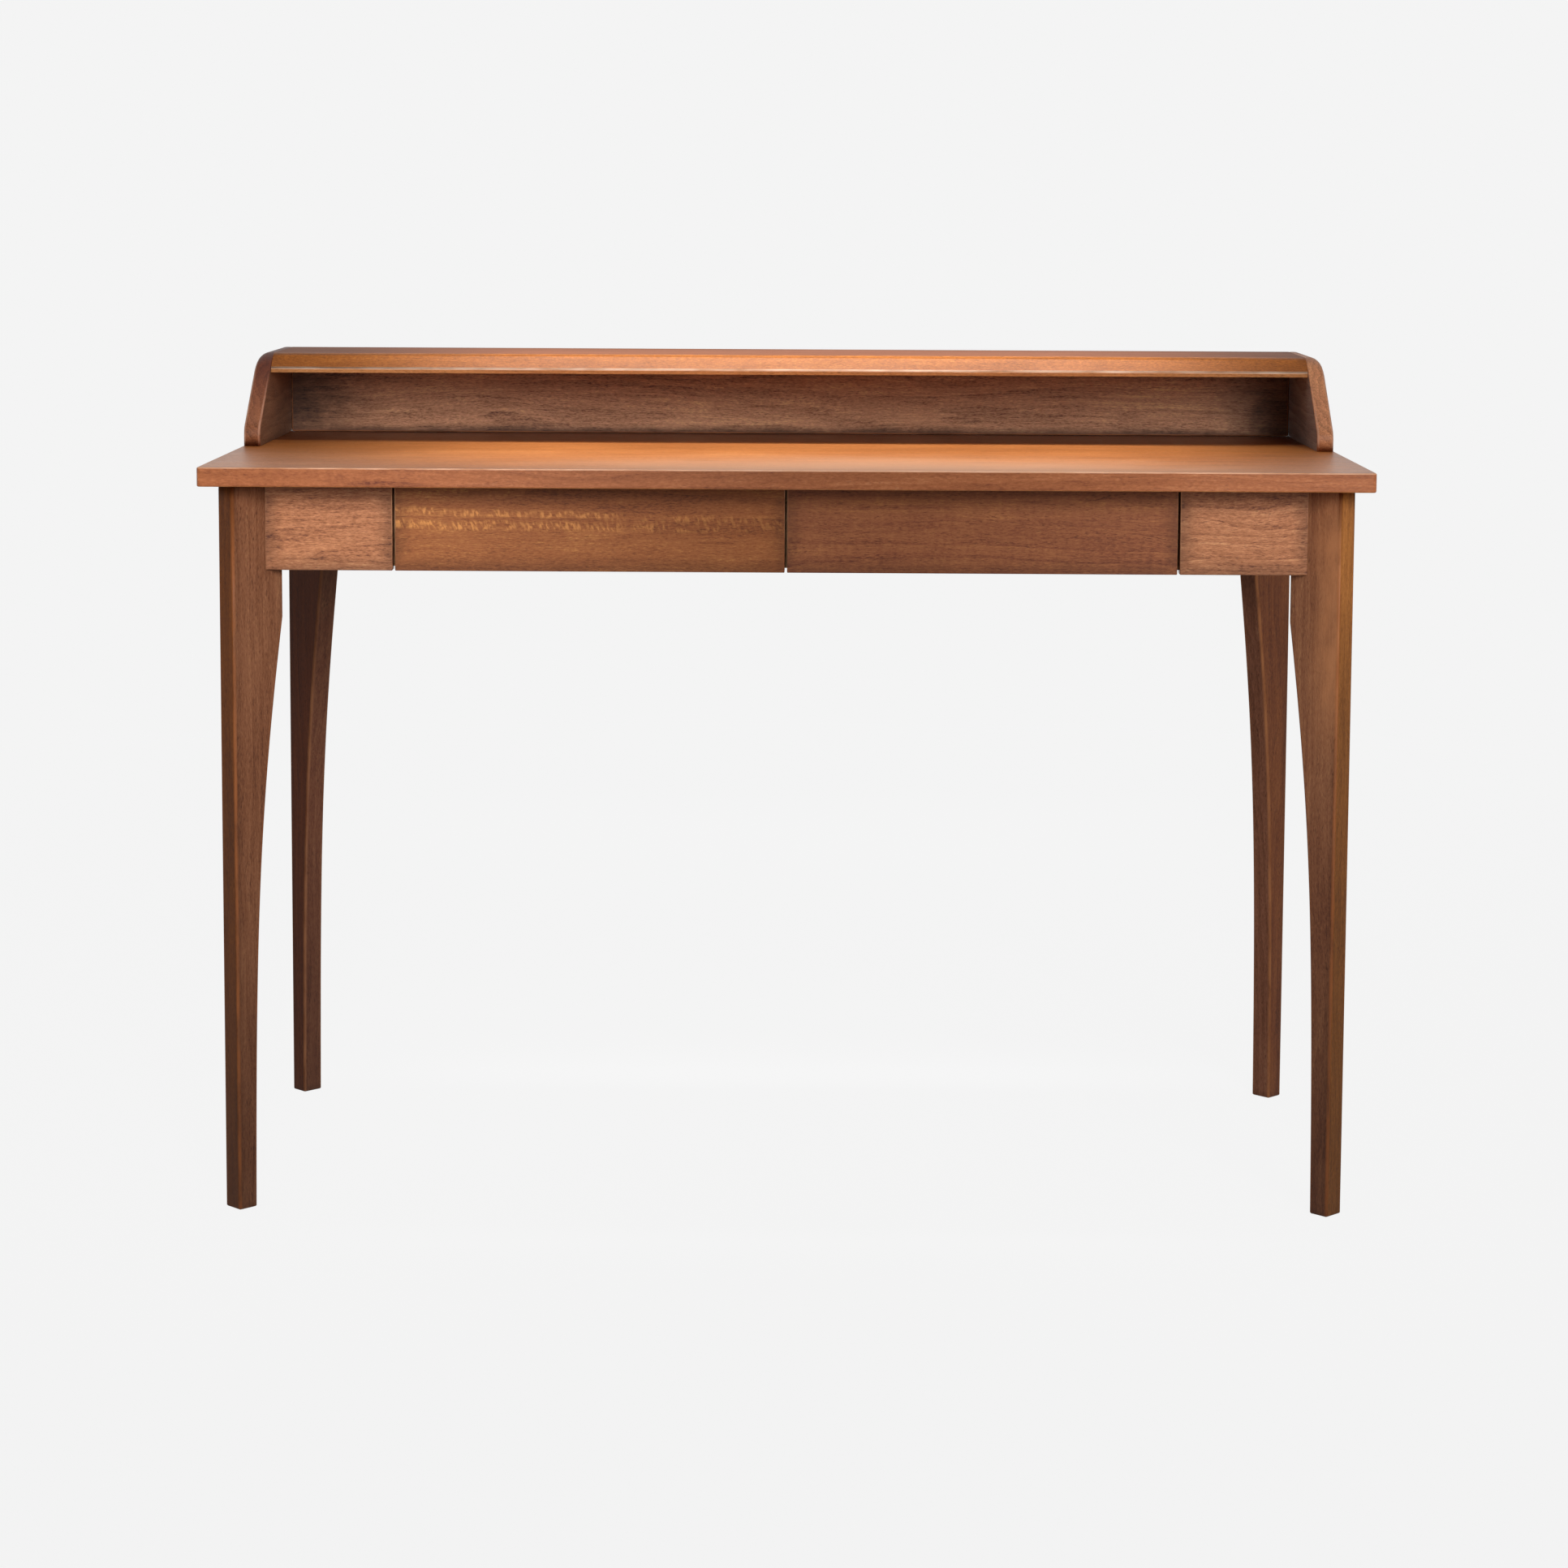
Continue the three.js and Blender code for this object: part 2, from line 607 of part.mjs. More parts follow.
// Tabletop, with blind holes for the hutch's dowels above and for the corner blocks' screws below
const topCorners = [[-1, -1], [1, -1], [1, 1], [-1, 1]].map(([side, end]) => [
  side * deskWidth * half,
  end * deskDepth * half,
  topCornerRadius,
]);
const topBlank = board(softShape(topCorners), topThickness, topArris, arrisSteps).translate(
  0,
  0,
  deskHeight - topThickness * half,
);
const topDowelHoles = [-1, 1].flatMap((side) =>
  sideDowelPlaces.map((y) =>
    rodZ(holeRadius, footDowelStart - glueGap, deskHeight + overrun).translate(side * sideMiddle, y, 0),
  ),
);
const topScrewHoles = cornerList.map((corner) => {
  const [x, y] = cornerPoint(corner, screwPlace, screwAcross);
  return rodZ(screwRadius + glueGap, underTop - overrun, screwTip + glueGap).translate(x, y, 0);
});
addPiece(desk, "tabletop", cut(topBlank, [...topDowelHoles, ...topScrewHoles]), topWood);

export default desk;
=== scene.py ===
# %% [markdown]
# A computer desk in stained and lacquered hardwood.
#
# The desk comes as a frame: plain solids of every board, bolt and dowel, at their real size and place. This
# lesson gives it its looks. It sets up the light and the camera of a product photograph, writes one wood
# material that every finish is made from, rebuilds the boards that show with hand-eased edges, and ends with
# the parts inside. Sizes are in millimetres, as a joiner would write them, and turn to metres in one place.

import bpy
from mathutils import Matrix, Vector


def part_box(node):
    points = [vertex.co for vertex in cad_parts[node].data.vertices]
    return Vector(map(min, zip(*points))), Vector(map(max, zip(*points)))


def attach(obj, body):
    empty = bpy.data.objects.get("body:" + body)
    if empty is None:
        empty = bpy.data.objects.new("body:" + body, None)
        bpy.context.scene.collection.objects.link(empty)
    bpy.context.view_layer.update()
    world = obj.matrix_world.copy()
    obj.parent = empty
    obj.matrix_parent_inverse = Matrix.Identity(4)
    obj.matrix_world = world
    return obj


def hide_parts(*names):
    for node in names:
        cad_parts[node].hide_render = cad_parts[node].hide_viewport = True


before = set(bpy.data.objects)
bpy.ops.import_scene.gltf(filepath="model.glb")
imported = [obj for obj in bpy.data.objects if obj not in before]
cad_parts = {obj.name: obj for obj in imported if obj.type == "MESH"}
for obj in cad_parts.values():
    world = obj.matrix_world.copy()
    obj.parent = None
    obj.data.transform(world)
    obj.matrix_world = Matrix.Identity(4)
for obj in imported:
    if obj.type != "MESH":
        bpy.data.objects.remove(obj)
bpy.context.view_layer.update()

import math

import bmesh
import bpy
from mathutils import Matrix, Vector

MM = 0.001
SIDES = (("left", -1), ("right", 1))

# %% [markdown]
# Places are read from the frame and not typed again, so the looks can't drift away from the solids. A node's
# box gives its lowest and highest corner, and we take both in millimetres.


# %% Read a node's box
def box_mm(node):
    """Lowest and highest corner of a node of the frame, in millimetres."""
    low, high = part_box(node)
    return low / MM, high / MM


top_low, top_high = box_mm("tabletop")
print("tabletop:", [round(size, 1) for size in top_high - top_low], "mm")

# %% [markdown]
# The camera stands where the photographer stood: almost 4 m away, a little above the tabletop, tilted down by
# 6 degrees. A long lens gives the flat perspective of a catalogue picture. Such pictures are taken with a
# shifted lens, which keeps the legs upright, and the shift here is the least that frames the desk in the same
# way.

# %% Place the camera
EYE = Vector((26.7, -3915.0, 1067.8))
YAW, PITCH, ROLL = 0.444, 6.0, 0.266
SENSOR = 36.0
LENS = 82.54
LENS_SHIFT = -0.1408

camera_data = bpy.data.cameras.new("camera")
camera_data.sensor_width = SENSOR
camera_data.lens = LENS
camera_data.shift_y = LENS_SHIFT
camera = bpy.data.objects.new("camera", camera_data)
camera.matrix_world = (
    Matrix.Translation(EYE * MM)
    @ Matrix.Rotation(math.radians(YAW), 4, "Z")
    @ Matrix.Rotation(math.radians(90 - PITCH), 4, "X")
    @ Matrix.Rotation(math.radians(ROLL), 4, "Z")
)
bpy.context.scene.collection.objects.link(camera)
bpy.context.scene.camera = camera
print("camera:", round((EYE - (top_low + top_high) / 2).length), "mm from the middle of the tabletop")

# %% [markdown]
# Colours are written as sRGB hex codes, the numbers that a colour picker shows. Shaders work in linear light,
# so one function turns a code into linear values, and every colour of the lesson goes through it.


# %% Turn a hex code into a linear colour
def linear(code):
    """Linear RGBA of an sRGB hex code such as #a0623c."""
    channels = [int(code[i : i + 2], 16) / 255 for i in (1, 3, 5)]
    return [c / 12.92 if c <= 0.04045 else ((c + 0.055) / 1.055) ** 2.4 for c in channels] + [1.0]


print("mid grey:", round(linear("#808080")[0], 3), "in linear light")

# %% [markdown]
# Materials are node trees, and writing them node by node is long. This one helper adds a node, sets its
# options, and fills its inputs with numbers, with a node, or with one output of a node. An input goes by its
# name, or by its place where several share a name, as the operands of a sum do. From and To stand for both
# ends of a range. The helper returns the node, so that the next one can take it as an input.
#
# Three sets of options come up often: a range with soft ends, a mix of two colours, and a mix that darkens
# one colour by another, as a thin layer of stain does.

# %% Add a node to a material
SMOOTH = {"interpolation_type": "SMOOTHSTEP"}
BLEND = {"data_type": "RGBA"}
DARKEN = {"data_type": "RGBA", "blend_type": "MULTIPLY"}


def add(tree, kind, inputs=None, stops=None, **options):
    """Adds a shader node. An input that is a node is linked from that node's first output in use."""
    node = tree.nodes.new("ShaderNode" + kind)
    for name, value in options.items():
        setattr(node, name, value)
    if stops:
        ramp = node.color_ramp
        while len(ramp.elements) < len(stops):
            ramp.elements.new(0.5)
        for element, (position, colour) in zip(ramp.elements, stops):
            element.position = position
            element.color = colour
    inputs = dict(inputs or {})
    for key in ("From", "To"):
        if key in inputs:
            inputs[key + " Min"], inputs[key + " Max"] = inputs.pop(key)
    for key, value in inputs.items():
        named = [s for s in node.inputs if s.enabled and s.name == key]
        socket = node.inputs[key] if isinstance(key, int) else named[0]
        if isinstance(value, bpy.types.Node):
            value = next(output for output in value.outputs if output.enabled)
        if isinstance(value, bpy.types.NodeSocket):
            tree.links.new(value, socket)
        else:
            socket.default_value = value
    return node


def empty_material(name):
    """A new material with no nodes, and its node tree."""
    material = bpy.data.materials.new(name)
    material.use_nodes = True
    material.node_tree.nodes.clear()
    return material, material.node_tree


# %% [markdown]
# A catalogue picture has one pale grey all round. Camera rays, and the rays that glossy and clear surfaces
# send out, see that grey. All other rays see a dimmer, neutral room, which lifts the shadows a little without
# washing out the wood.

# %% Set the background
PALE_GREY = "#f4f4f4"
ROOM_WHITE = "#ffffff"
ROOM_STRENGTH = 0.26


def seen_directly(tree):
    """1 for camera rays and for those that glossy and clear surfaces send out, and 0 for all others."""
    ray = add(tree, "LightPath")
    seen = ray.outputs["Is Camera Ray"]
    for kind in ("Is Glossy Ray", "Is Transmission Ray"):
        seen = add(tree, "Math", {0: seen, 1: ray.outputs[kind]}, operation="MAXIMUM")
    return seen


world = bpy.data.worlds.new("studio")
world.use_nodes = True
world_tree = world.node_tree
world_tree.nodes.clear()
room = add(world_tree, "Background", {"Color": linear(ROOM_WHITE), "Strength": ROOM_STRENGTH})
backdrop = add(world_tree, "Background", {"Color": linear(PALE_GREY), "Strength": 1.0})
shown = add(world_tree, "MixShader", {0: seen_directly(world_tree), 1: room, 2: backdrop})
add(world_tree, "OutputWorld", {"Surface": shown})
bpy.context.scene.world = world
bpy.context.scene.view_settings.view_transform = "Standard"
print("background:", PALE_GREY, "and a room of strength", ROOM_STRENGTH)

# %% [markdown]
# The floor is the same pale grey, and it still has to carry the desk's shadow. A plain white floor would take
# the lamps' brightness and show a horizon. So near the desk it is mostly glow and a little matt paint, which
# the shadow darkens, and further out it fades to glow alone, where it meets the background without a line.
# The desk itself gets its light from plain paint. From below the floor is clear, so that the desk can be seen
# from underneath.

# %% Lay the floor
FLOOR_RADIUS = 40000
FLOOR_PAINT = "#e6e6e6"
SHADOW_SHARE = 0.05
SHADOW_REACH = (900, 3200)  # from the desk's middle, where the paint starts to fade and where it is gone
GLOW_NEAR = 1.03  # the glow under the desk, to make up for the paint's own shade


def floor_finish():
    """Matt studio paint near the desk that fades to a plain glow far from it."""
    material, tree = empty_material("matt_studio_paint")
    place = add(tree, "TexCoord").outputs["Object"]
    reach = add(tree, "VectorMath", {0: place}, operation="LENGTH").outputs["Value"]
    near, far = (distance * MM for distance in SHADOW_REACH)
    share = add(tree, "MapRange", {"Value": reach, "From": (near, far), "To": (SHADOW_SHARE, 0.0)}, **SMOOTH)
    nearness = add(tree, "Math", {0: share, 1: SHADOW_SHARE}, operation="DIVIDE")
    level = add(tree, "MapRange", {"Value": nearness, "To": (1.0, GLOW_NEAR)})
    paint = add(tree, "BsdfDiffuse", {"Color": linear(FLOOR_PAINT)})
    glow = add(tree, "Emission", {"Color": linear(PALE_GREY), "Strength": level})
    pale = add(tree, "MixShader", {0: share, 1: glow, 2: paint})
    shown = add(tree, "MixShader", {0: seen_directly(tree), 1: paint, 2: pale})
    from_below = add(tree, "NewGeometry").outputs["Backfacing"]
    shown = add(tree, "MixShader", {0: from_below, 1: shown, 2: add(tree, "BsdfTransparent")})
    add(tree, "OutputMaterial", {"Surface": shown})
    return material


floor_mesh = bpy.data.meshes.new("floor")
floor_bm = bmesh.new()
bmesh.ops.create_circle(floor_bm, cap_ends=True, segments=64, radius=FLOOR_RADIUS * MM)
floor_bm.to_mesh(floor_mesh)
floor_bm.free()
floor = bpy.data.objects.new("floor", floor_mesh)
floor.data.materials.append(floor_finish())
bpy.context.scene.collection.objects.link(floor)
print("floor:", 2 * FLOOR_RADIUS * MM, "m across")

# %% [markdown]
# The light is that of the photograph, and each lamp has one job. The key is a softbox straight above the
# middle of the desk. A grid narrows its beam, so the tabletop and the shelf's slant are brightest in the
# middle, and their ends stay brown. Two softboxes stand in front, each aimed at one end of the apron and its
# leg, so the fixed panels are lighter than the drawers between them. Their grids keep them off the middle.
# The last lamp stands low behind the desk and lifts its back a little, for whoever walks round it.

# %% Hang the lamps
LAMPS = {
    # name: place, aim, size, watts, angle of the grid
    "key_softbox": ((25, 40, 2250), (25, 40, 800), (860, 520), 2.1, 15),
    "left_softbox": ((-260, -1500, 1150), (-500, -250, 600), (400, 700), 1.85, 52),
    "right_softbox": ((900, -1500, 1150), (480, -250, 600), (400, 700), 1.6, 52),
    "rear_fill": ((0, 2600, 450), (0, 275, 500), (1600, 500), 6, 120),
}


def hang(name, place, aim, size, power, grid):
    """A rectangular lamp in millimetres and watts, pointed at aim, whose grid narrows its beam."""
    data = bpy.data.lights.new(name, "AREA")
    data.shape = "RECTANGLE"
    data.size, data.size_y = size[0] * MM, size[1] * MM
    data.energy = power
    data.spread = math.radians(grid)
    lamp = bpy.data.objects.new(name, data)
    lamp.visible_camera = False
    lamp.location = Vector(place) * MM
    lamp.rotation_euler = (Vector(aim) - Vector(place)).to_track_quat("-Z", "Y").to_euler()
    bpy.context.scene.collection.objects.link(lamp)


for name, setting in LAMPS.items():
    hang(name, *setting)
    print("lamp:", name, setting[3], "W")

# %% [markdown]
# The wood. The desk is a medium-pored hardwood such as acacia or mahogany: stained red-brown, then sprayed
# with a toned, semi-gloss lacquer. Four things make it read as that. Growth rings, cut along the log, give
# long bands and now and then a pointed arch. Fibres give fine streaks along the grain. Pores are short dark
# dashes, where the stain sinks in. And the finish itself darkens where it gathers in corners, and is paler
# on the arrises, partly where it is rubbed and partly as a painted highlight.
#
# A picture of wood can't turn a corner, so the pattern is worked out in space, in each board's own
# coordinates: along the grain, across the face and through the thickness. The mesh carries those coordinates
# as attributes, in millimetres, and one material suits a board that stands, lies or leans.

# %% Board coordinates
# board is the place in the board, from its middle. half holds its half sizes. heart is where the log's middle
# runs, beside the board. shift moves the board through the pattern, so that no two boards are alike.
BOARD_FIELDS = ("board", "half", "heart", "shift")
SHIFT_STEP = (731.0, 57.0, 23.0)


def mark_board(mesh, middle, axes, half, heart, number):
    """Writes a board's own coordinates into its mesh, whose points are in millimetres."""
    for name in BOARD_FIELDS:
        mesh.attributes.new(name, "FLOAT_VECTOR", "POINT")
    fields = {name: mesh.attributes[name].data for name in BOARD_FIELDS}
    shift = [number * step for step in SHIFT_STEP]
    for i, vertex in enumerate(mesh.vertices):
        offset = vertex.co - middle
        fields["board"][i].vector = [offset.dot(axis) for axis in axes]
        fields["half"][i].vector = half
        fields["heart"][i].vector = (0, *heart)
        fields["shift"][i].vector = shift


def board_fields(tree):
    """The same coordinates inside a material. seeded is the place after the board's own shift."""
    fields = {name: add(tree, "Attribute", attribute_name=name).outputs["Vector"] for name in BOARD_FIELDS}
    fields["seeded"] = add(tree, "VectorMath", {0: fields["board"], 1: fields["shift"]}, operation="ADD")
    return fields


print("board fields:", ", ".join(BOARD_FIELDS))

# %% [markdown]
# Each layer of the pattern has its scale as a real size: millimetres along, across and through the board. A
# fibre's streak is about 1 mm wide and a few long. A real pore is about 0.3 mm wide, which is too fine to
# show, and is drawn wider.

# %% Noise of a real size
STREAK = (60, 2.4, 2.4)
FIBRE = (5.2, 1.2, 1.2)
PORE = (5.5, 1.1, 1.1)
PORE_CLUSTER = (60, 9, 9)
BLOTCH = (210, 60, 60)
MOTTLE = (24, 13, 13)


def noise_at(tree, place, size, **inputs):
    """Noise whose features measure size, in millimetres along, across and through the board."""
    scaled = add(tree, "VectorMath", {0: place, 1: [1 / s for s in size]}, operation="MULTIPLY")
    return add(tree, "TexNoise", {"Vector": scaled, "Scale": 1.0, **inputs})


print("a pore is drawn", PORE[1], "mm wide and", PORE[0], "mm long")

# %% [markdown]
# The growth rings are tubes round the heart, so their tone is a function of the distance to it. Noise bends
# the board's coordinates first, much more across the grain than along it, which is what makes real rings
# wander. Within a ring the early wood is pale, and the late wood ends in a dark line.

# %% Growth rings
BEND = (330, 90, 90)
UPSET = (420, 16, 16)
UPSET_RINGS = 2.2
NOISE_MIDDLE = 0.5
RING_DARKNESS = ((0.0, 0.25), (0.12, 0.0), (0.86, 0.75), (1.0, 1.0))  # place in the ring, darkness


def bend_of_grain(tree, fields, wander):
    """How far the grain has wandered at each place, by up to wander millimetres across and through."""
    drift = noise_at(tree, fields["seeded"], BEND, Detail=2.0).outputs["Color"]
    drift = add(tree, "VectorMath", {0: drift, 1: (NOISE_MIDDLE,) * 3}, operation="SUBTRACT")
    return add(tree, "VectorMath", {0: drift, 1: (0, wander * 2, wander * 2)}, operation="MULTIPLY")


def growth_rings(tree, fields, drift, bent, ring):
    """Darkness of rings of equal width, ring millimetres, round the heart."""
    from_heart = add(tree, "VectorMath", {0: fields["board"], 1: drift}, operation="ADD")
    from_heart = add(tree, "VectorMath", {0: from_heart, 1: fields["heart"]}, operation="SUBTRACT")
    from_heart = add(tree, "VectorMath", {0: from_heart, 1: (0, 1, 1)}, operation="MULTIPLY")
    radius = add(tree, "VectorMath", {0: from_heart}, operation="LENGTH").outputs["Value"]
    upset = noise_at(tree, bent, UPSET, Detail=2.0)
    phase = add(tree, "Math", {0: radius, 1: ring}, operation="DIVIDE")
    phase = add(tree, "Math", {0: upset, 1: UPSET_RINGS, 2: phase}, operation="MULTIPLY_ADD")
    growth = add(tree, "Math", {0: phase}, operation="FRACT")
    return add(tree, "ValToRGB", {"Fac": growth}, stops=[(at, (dark,) * 4) for at, dark in RING_DARKNESS])


print("a ring is palest at", RING_DARKNESS[1][0], "of its width and darkest at its rim")

# %% [markdown]
# One number, the tone, gathers the layers: rings, streaks, fibres and blotches, each as strong as that board
# shows it. Where the fibres wave, they catch the light in short bars across the grain, which are a layer of
# their own. A colour ramp then turns the tone into the stain's colours, from its darkest to its palest.

# %% Colour of the stain
MIDDLE_TONE = 0.5
RING_MEAN = 0.4  # mean darkness of the rings, given back so that strong rings don't darken the whole board


def lay_over(tree, tone, layer, amount):
    """Lightens and darkens a tone by a layer of noise."""
    centred = add(tree, "Math", {0: layer, 1: NOISE_MIDDLE}, operation="SUBTRACT")
    return add(tree, "Math", {0: centred, 1: amount, 2: tone}, operation="MULTIPLY_ADD")


def stain_colour(tree, fields, bent, rings, fibres, tones, contrast, ripple):
    """The stained wood. contrast is of the rings, streaks, fibres and blotches, ripple is amount and size."""
    base = MIDDLE_TONE + contrast[0] * RING_MEAN
    tone = add(tree, "Math", {0: rings, 1: -contrast[0], 2: base}, operation="MULTIPLY_ADD")
    streaks = noise_at(tree, bent, STREAK, Detail=3.0, Roughness=0.6)
    blotches = noise_at(tree, fields["seeded"], BLOTCH, Detail=3.0)
    for layer, amount in zip((streaks, fibres, blotches), contrast[1:]):
        tone = lay_over(tree, tone, layer, amount * 2)
    if ripple:
        bars = noise_at(tree, fields["seeded"], ripple[1], Detail=1.0, Distortion=0.4)
        tone = lay_over(tree, tone, bars, ripple[0])
    steps = [(i / (len(tones) - 1), linear(code)) for i, code in enumerate(tones)]
    return add(tree, "ValToRGB", {"Fac": tone}, stops=steps)


print("tone of plain wood:", MIDDLE_TONE, "on a scale from 0, dark, to 1, pale")

# %% [markdown]
# Pores are the peaks of a long, narrow noise, and a second, wider noise gathers them in loose clusters.

# %% Pores
PORE_LEVELS = (0.56, 0.7)
CLUSTER_LEVELS = (0.3, 0.62)


def pore_dashes(tree, bent):
    """1 inside a pore and 0 between the pores."""
    dashes = noise_at(tree, bent, PORE, Detail=1.0)
    dashes = add(tree, "MapRange", {"Value": dashes, "From": PORE_LEVELS})
    cluster = noise_at(tree, bent, PORE_CLUSTER, Detail=1.0)
    cluster = add(tree, "MapRange", {"Value": cluster, "From": CLUSTER_LEVELS})
    return add(tree, "Math", {0: dashes, 1: cluster}, operation="MULTIPLY")


print("pores open where their noise is over", PORE_LEVELS[0])

# %% [markdown]
# Lacquer that carries colour is darkest where it is thickest. It gathers at a board's ends and long edges,
# with an uneven rim. Along some boards painted shade darkens the colour from one end towards the other, such
# as towards a leg's foot.

# %% Toned lacquer and painted shade along a board
GLAZE_BROWN = "#3a2218"
SHADE_BROWN = "#4a2c1e"
GLAZE_RIM = (-0.5, 1.0)


def gathered_glaze(tree, fields, colour, mottle, amount, reach):
    """Darker near the ends and the long edges. reach is how far from them, in millimetres."""
    away = add(tree, "VectorMath", {0: fields["board"]}, operation="ABSOLUTE")
    away = add(tree, "VectorMath", {0: fields["half"], 1: away}, operation="SUBTRACT")
    away = add(tree, "SeparateXYZ", {0: away})
    from_end = add(tree, "Math", {0: away.outputs["X"], 1: reach[0]}, operation="DIVIDE")
    from_side = add(tree, "Math", {0: away.outputs["Y"], 1: reach[1]}, operation="DIVIDE")
    nearest = add(tree, "Math", {0: from_end, 1: from_side}, operation="MINIMUM")
    nearest = add(tree, "Math", {0: nearest, 1: mottle}, operation="SUBTRACT")
    share = add(tree, "MapRange", {"Value": nearest, "From": GLAZE_RIM, "To": (amount, 0.0)}, **SMOOTH)
    return add(tree, "Mix", {"Factor": share, "A": colour, "B": linear(GLAZE_BROWN)}, **DARKEN)


def built_up_toner(tree, fields, colour, amount, full, none):
    """Painted shade along a board, from full to none, where -1 is the board's lower end and 1 its upper end.
    """
    along = add(tree, "SeparateXYZ", {0: fields["board"]})
    half = add(tree, "SeparateXYZ", {0: fields["half"]})
    share = add(tree, "Math", {0: along.outputs["X"], 1: half.outputs["X"]}, operation="DIVIDE")
    share = add(tree, "MapRange", {"Value": share, "From": (full, none), "To": (amount, 0.0)}, **SMOOTH)
    return add(tree, "Mix", {"Factor": share, "A": colour, "B": linear(SHADE_BROWN)}, **DARKEN)


# the second colour is that of the painted shade along a board
print("lacquer: glaze", GLAZE_BROWN, "and toner", SHADE_BROWN)

# %% [markdown]
# Sanding and handling thin the stain on the arrises, and a painted highlight lightens them as well. The mesh
# says where an arris is, and noise leaves some stretches paler than others.

# %% Rubbed and highlit arrises
ARRIS_PATCH = (40, 12, 12)
ARRIS_PATCH_LEVELS = (0.3, 0.65)
ARRIS_PATCH_LEAST = 0.25


def rubbed_and_highlit_arrises(tree, fields, colour, pale):
    """Paler where the mesh is marked as arris."""
    pale_share = add(tree, "Attribute", attribute_name="arris").outputs["Fac"]
    patch = noise_at(tree, fields["seeded"], ARRIS_PATCH, Detail=2.0)
    patch = add(tree, "MapRange", {"Value": patch, "From": ARRIS_PATCH_LEVELS, "To": (ARRIS_PATCH_LEAST, 1.0)})
    pale_share = add(tree, "Math", {0: pale_share, 1: patch}, operation="MULTIPLY")
    return add(tree, "Mix", {"Factor": pale_share, "A": colour, "B": linear(pale)}, **BLEND)


# the stretches are paler partly by rubbing and partly by a painted highlight
print("arrises: the least rubbed stretches are at", ARRIS_PATCH_LEAST, "of the most rubbed")

# %% [markdown]
# The lacquer's surface comes last. It half fills the pores, so they stay as faint hollows between low ridges
# of fibre, and its gloss varies a little: duller where it is thin, over the pores. An IOR of 1.5 is that of
# most lacquers.

# %% Lacquer
LACQUER_IOR = 1.5
BUMP_DEPTH = 0.09
FIBRE_RELIEF = 0.5
PORE_RELIEF = -0.6
GLOSS_DRIFT = 0.1
PORE_DULLNESS = 0.08


def lacquer(tree, colour, fibres, dashes, mottle, roughness, specular):
    """The surface of the board: colour, relief and gloss."""
    relief = add(tree, "Math", {0: fibres, 1: FIBRE_RELIEF}, operation="MULTIPLY")
    relief = add(tree, "Math", {0: dashes, 1: PORE_RELIEF, 2: relief}, operation="MULTIPLY_ADD")
    bump = add(tree, "Bump", {"Height": relief, "Distance": BUMP_DEPTH * MM, "Strength": 1.0})
    least = roughness - GLOSS_DRIFT / 2
    gloss = add(tree, "Math", {0: mottle, 1: GLOSS_DRIFT, 2: least}, operation="MULTIPLY_ADD")
    gloss = add(tree, "Math", {0: dashes, 1: PORE_DULLNESS, 2: gloss}, operation="MULTIPLY_ADD")
    looks = {"Base Color": colour, "Roughness": gloss, "Normal": bump}
    surface = add(tree, "BsdfPrincipled", {**looks, "IOR": LACQUER_IOR, "Specular IOR Level": specular})
    add(tree, "OutputMaterial", {"Surface": surface})


print("lacquer: IOR", LACQUER_IOR, "and relief", BUMP_DEPTH, "mm deep")

# %% [markdown]
# Now the whole material, layer by layer: wood, stain, pores, glaze, a board's own marks and painted light,
# painted shade along the board, rubbed and highlit arrises and lacquer. What a board has of its own comes in
# as settings.


# %% The wood material
def stained_hardwood(
    name,
    tones,
    arris,
    ring,
    contrast,
    pores,
    glaze,
    roughness,
    specular,
    glaze_reach=(14, 14),
    wander=16.0,
    ripple=None,
    toner=None,
    wear=None,
):
    """Stained hardwood under toned semi-gloss lacquer."""
    material, tree = empty_material(name)
    fields = board_fields(tree)
    drift = bend_of_grain(tree, fields, wander)
    bent = add(tree, "VectorMath", {0: fields["seeded"], 1: drift}, operation="ADD")
    rings = growth_rings(tree, fields, drift, bent, ring)
    fibres = noise_at(tree, bent, FIBRE, Detail=2.0, Roughness=0.7)
    colour = stain_colour(tree, fields, bent, rings, fibres, tones, contrast, ripple)
    dashes = pore_dashes(tree, bent)
    dark = add(tree, "Math", {0: dashes, 1: pores}, operation="MULTIPLY")
    colour = add(tree, "Mix", {"Factor": dark, "A": colour, "B": linear(tones[0])}, **BLEND)
    mottle = noise_at(tree, fields["seeded"], MOTTLE, Detail=2.0)
    colour = gathered_glaze(tree, fields, colour, mottle, glaze, glaze_reach)
    # a board's own marks, such as flecks, and on some boards painted light and painted shade
    if wear:
        colour = wear(tree, fields, colour)
    # painted shade along the board, such as towards a leg's foot
    if toner:
        colour = built_up_toner(tree, fields, colour, *toner)
    colour = rubbed_and_highlit_arrises(tree, fields, colour, arris)
    lacquer(tree, colour, fibres, dashes, mottle, roughness, specular)
    return material


# %% [markdown]
# The upper half of the left drawer front has two rows of light flecks, where the cut runs along the wood's
# rays. Each fleck is a short bar that leans a little across the grain. Noise makes the bars, and a wider
# noise breaks them into clumps.

# %% Flecks
FLECK_SIZE = (3.6, 8, 8)
FLECK_LEVELS = (0.45, 0.6)
FLECK_CLUMP = (19, 10, 60)
CLUMP_LEVELS = (0.36, 0.56)
CLUMP_LEAST = 0.1
FLECK_SLANT = 0.3


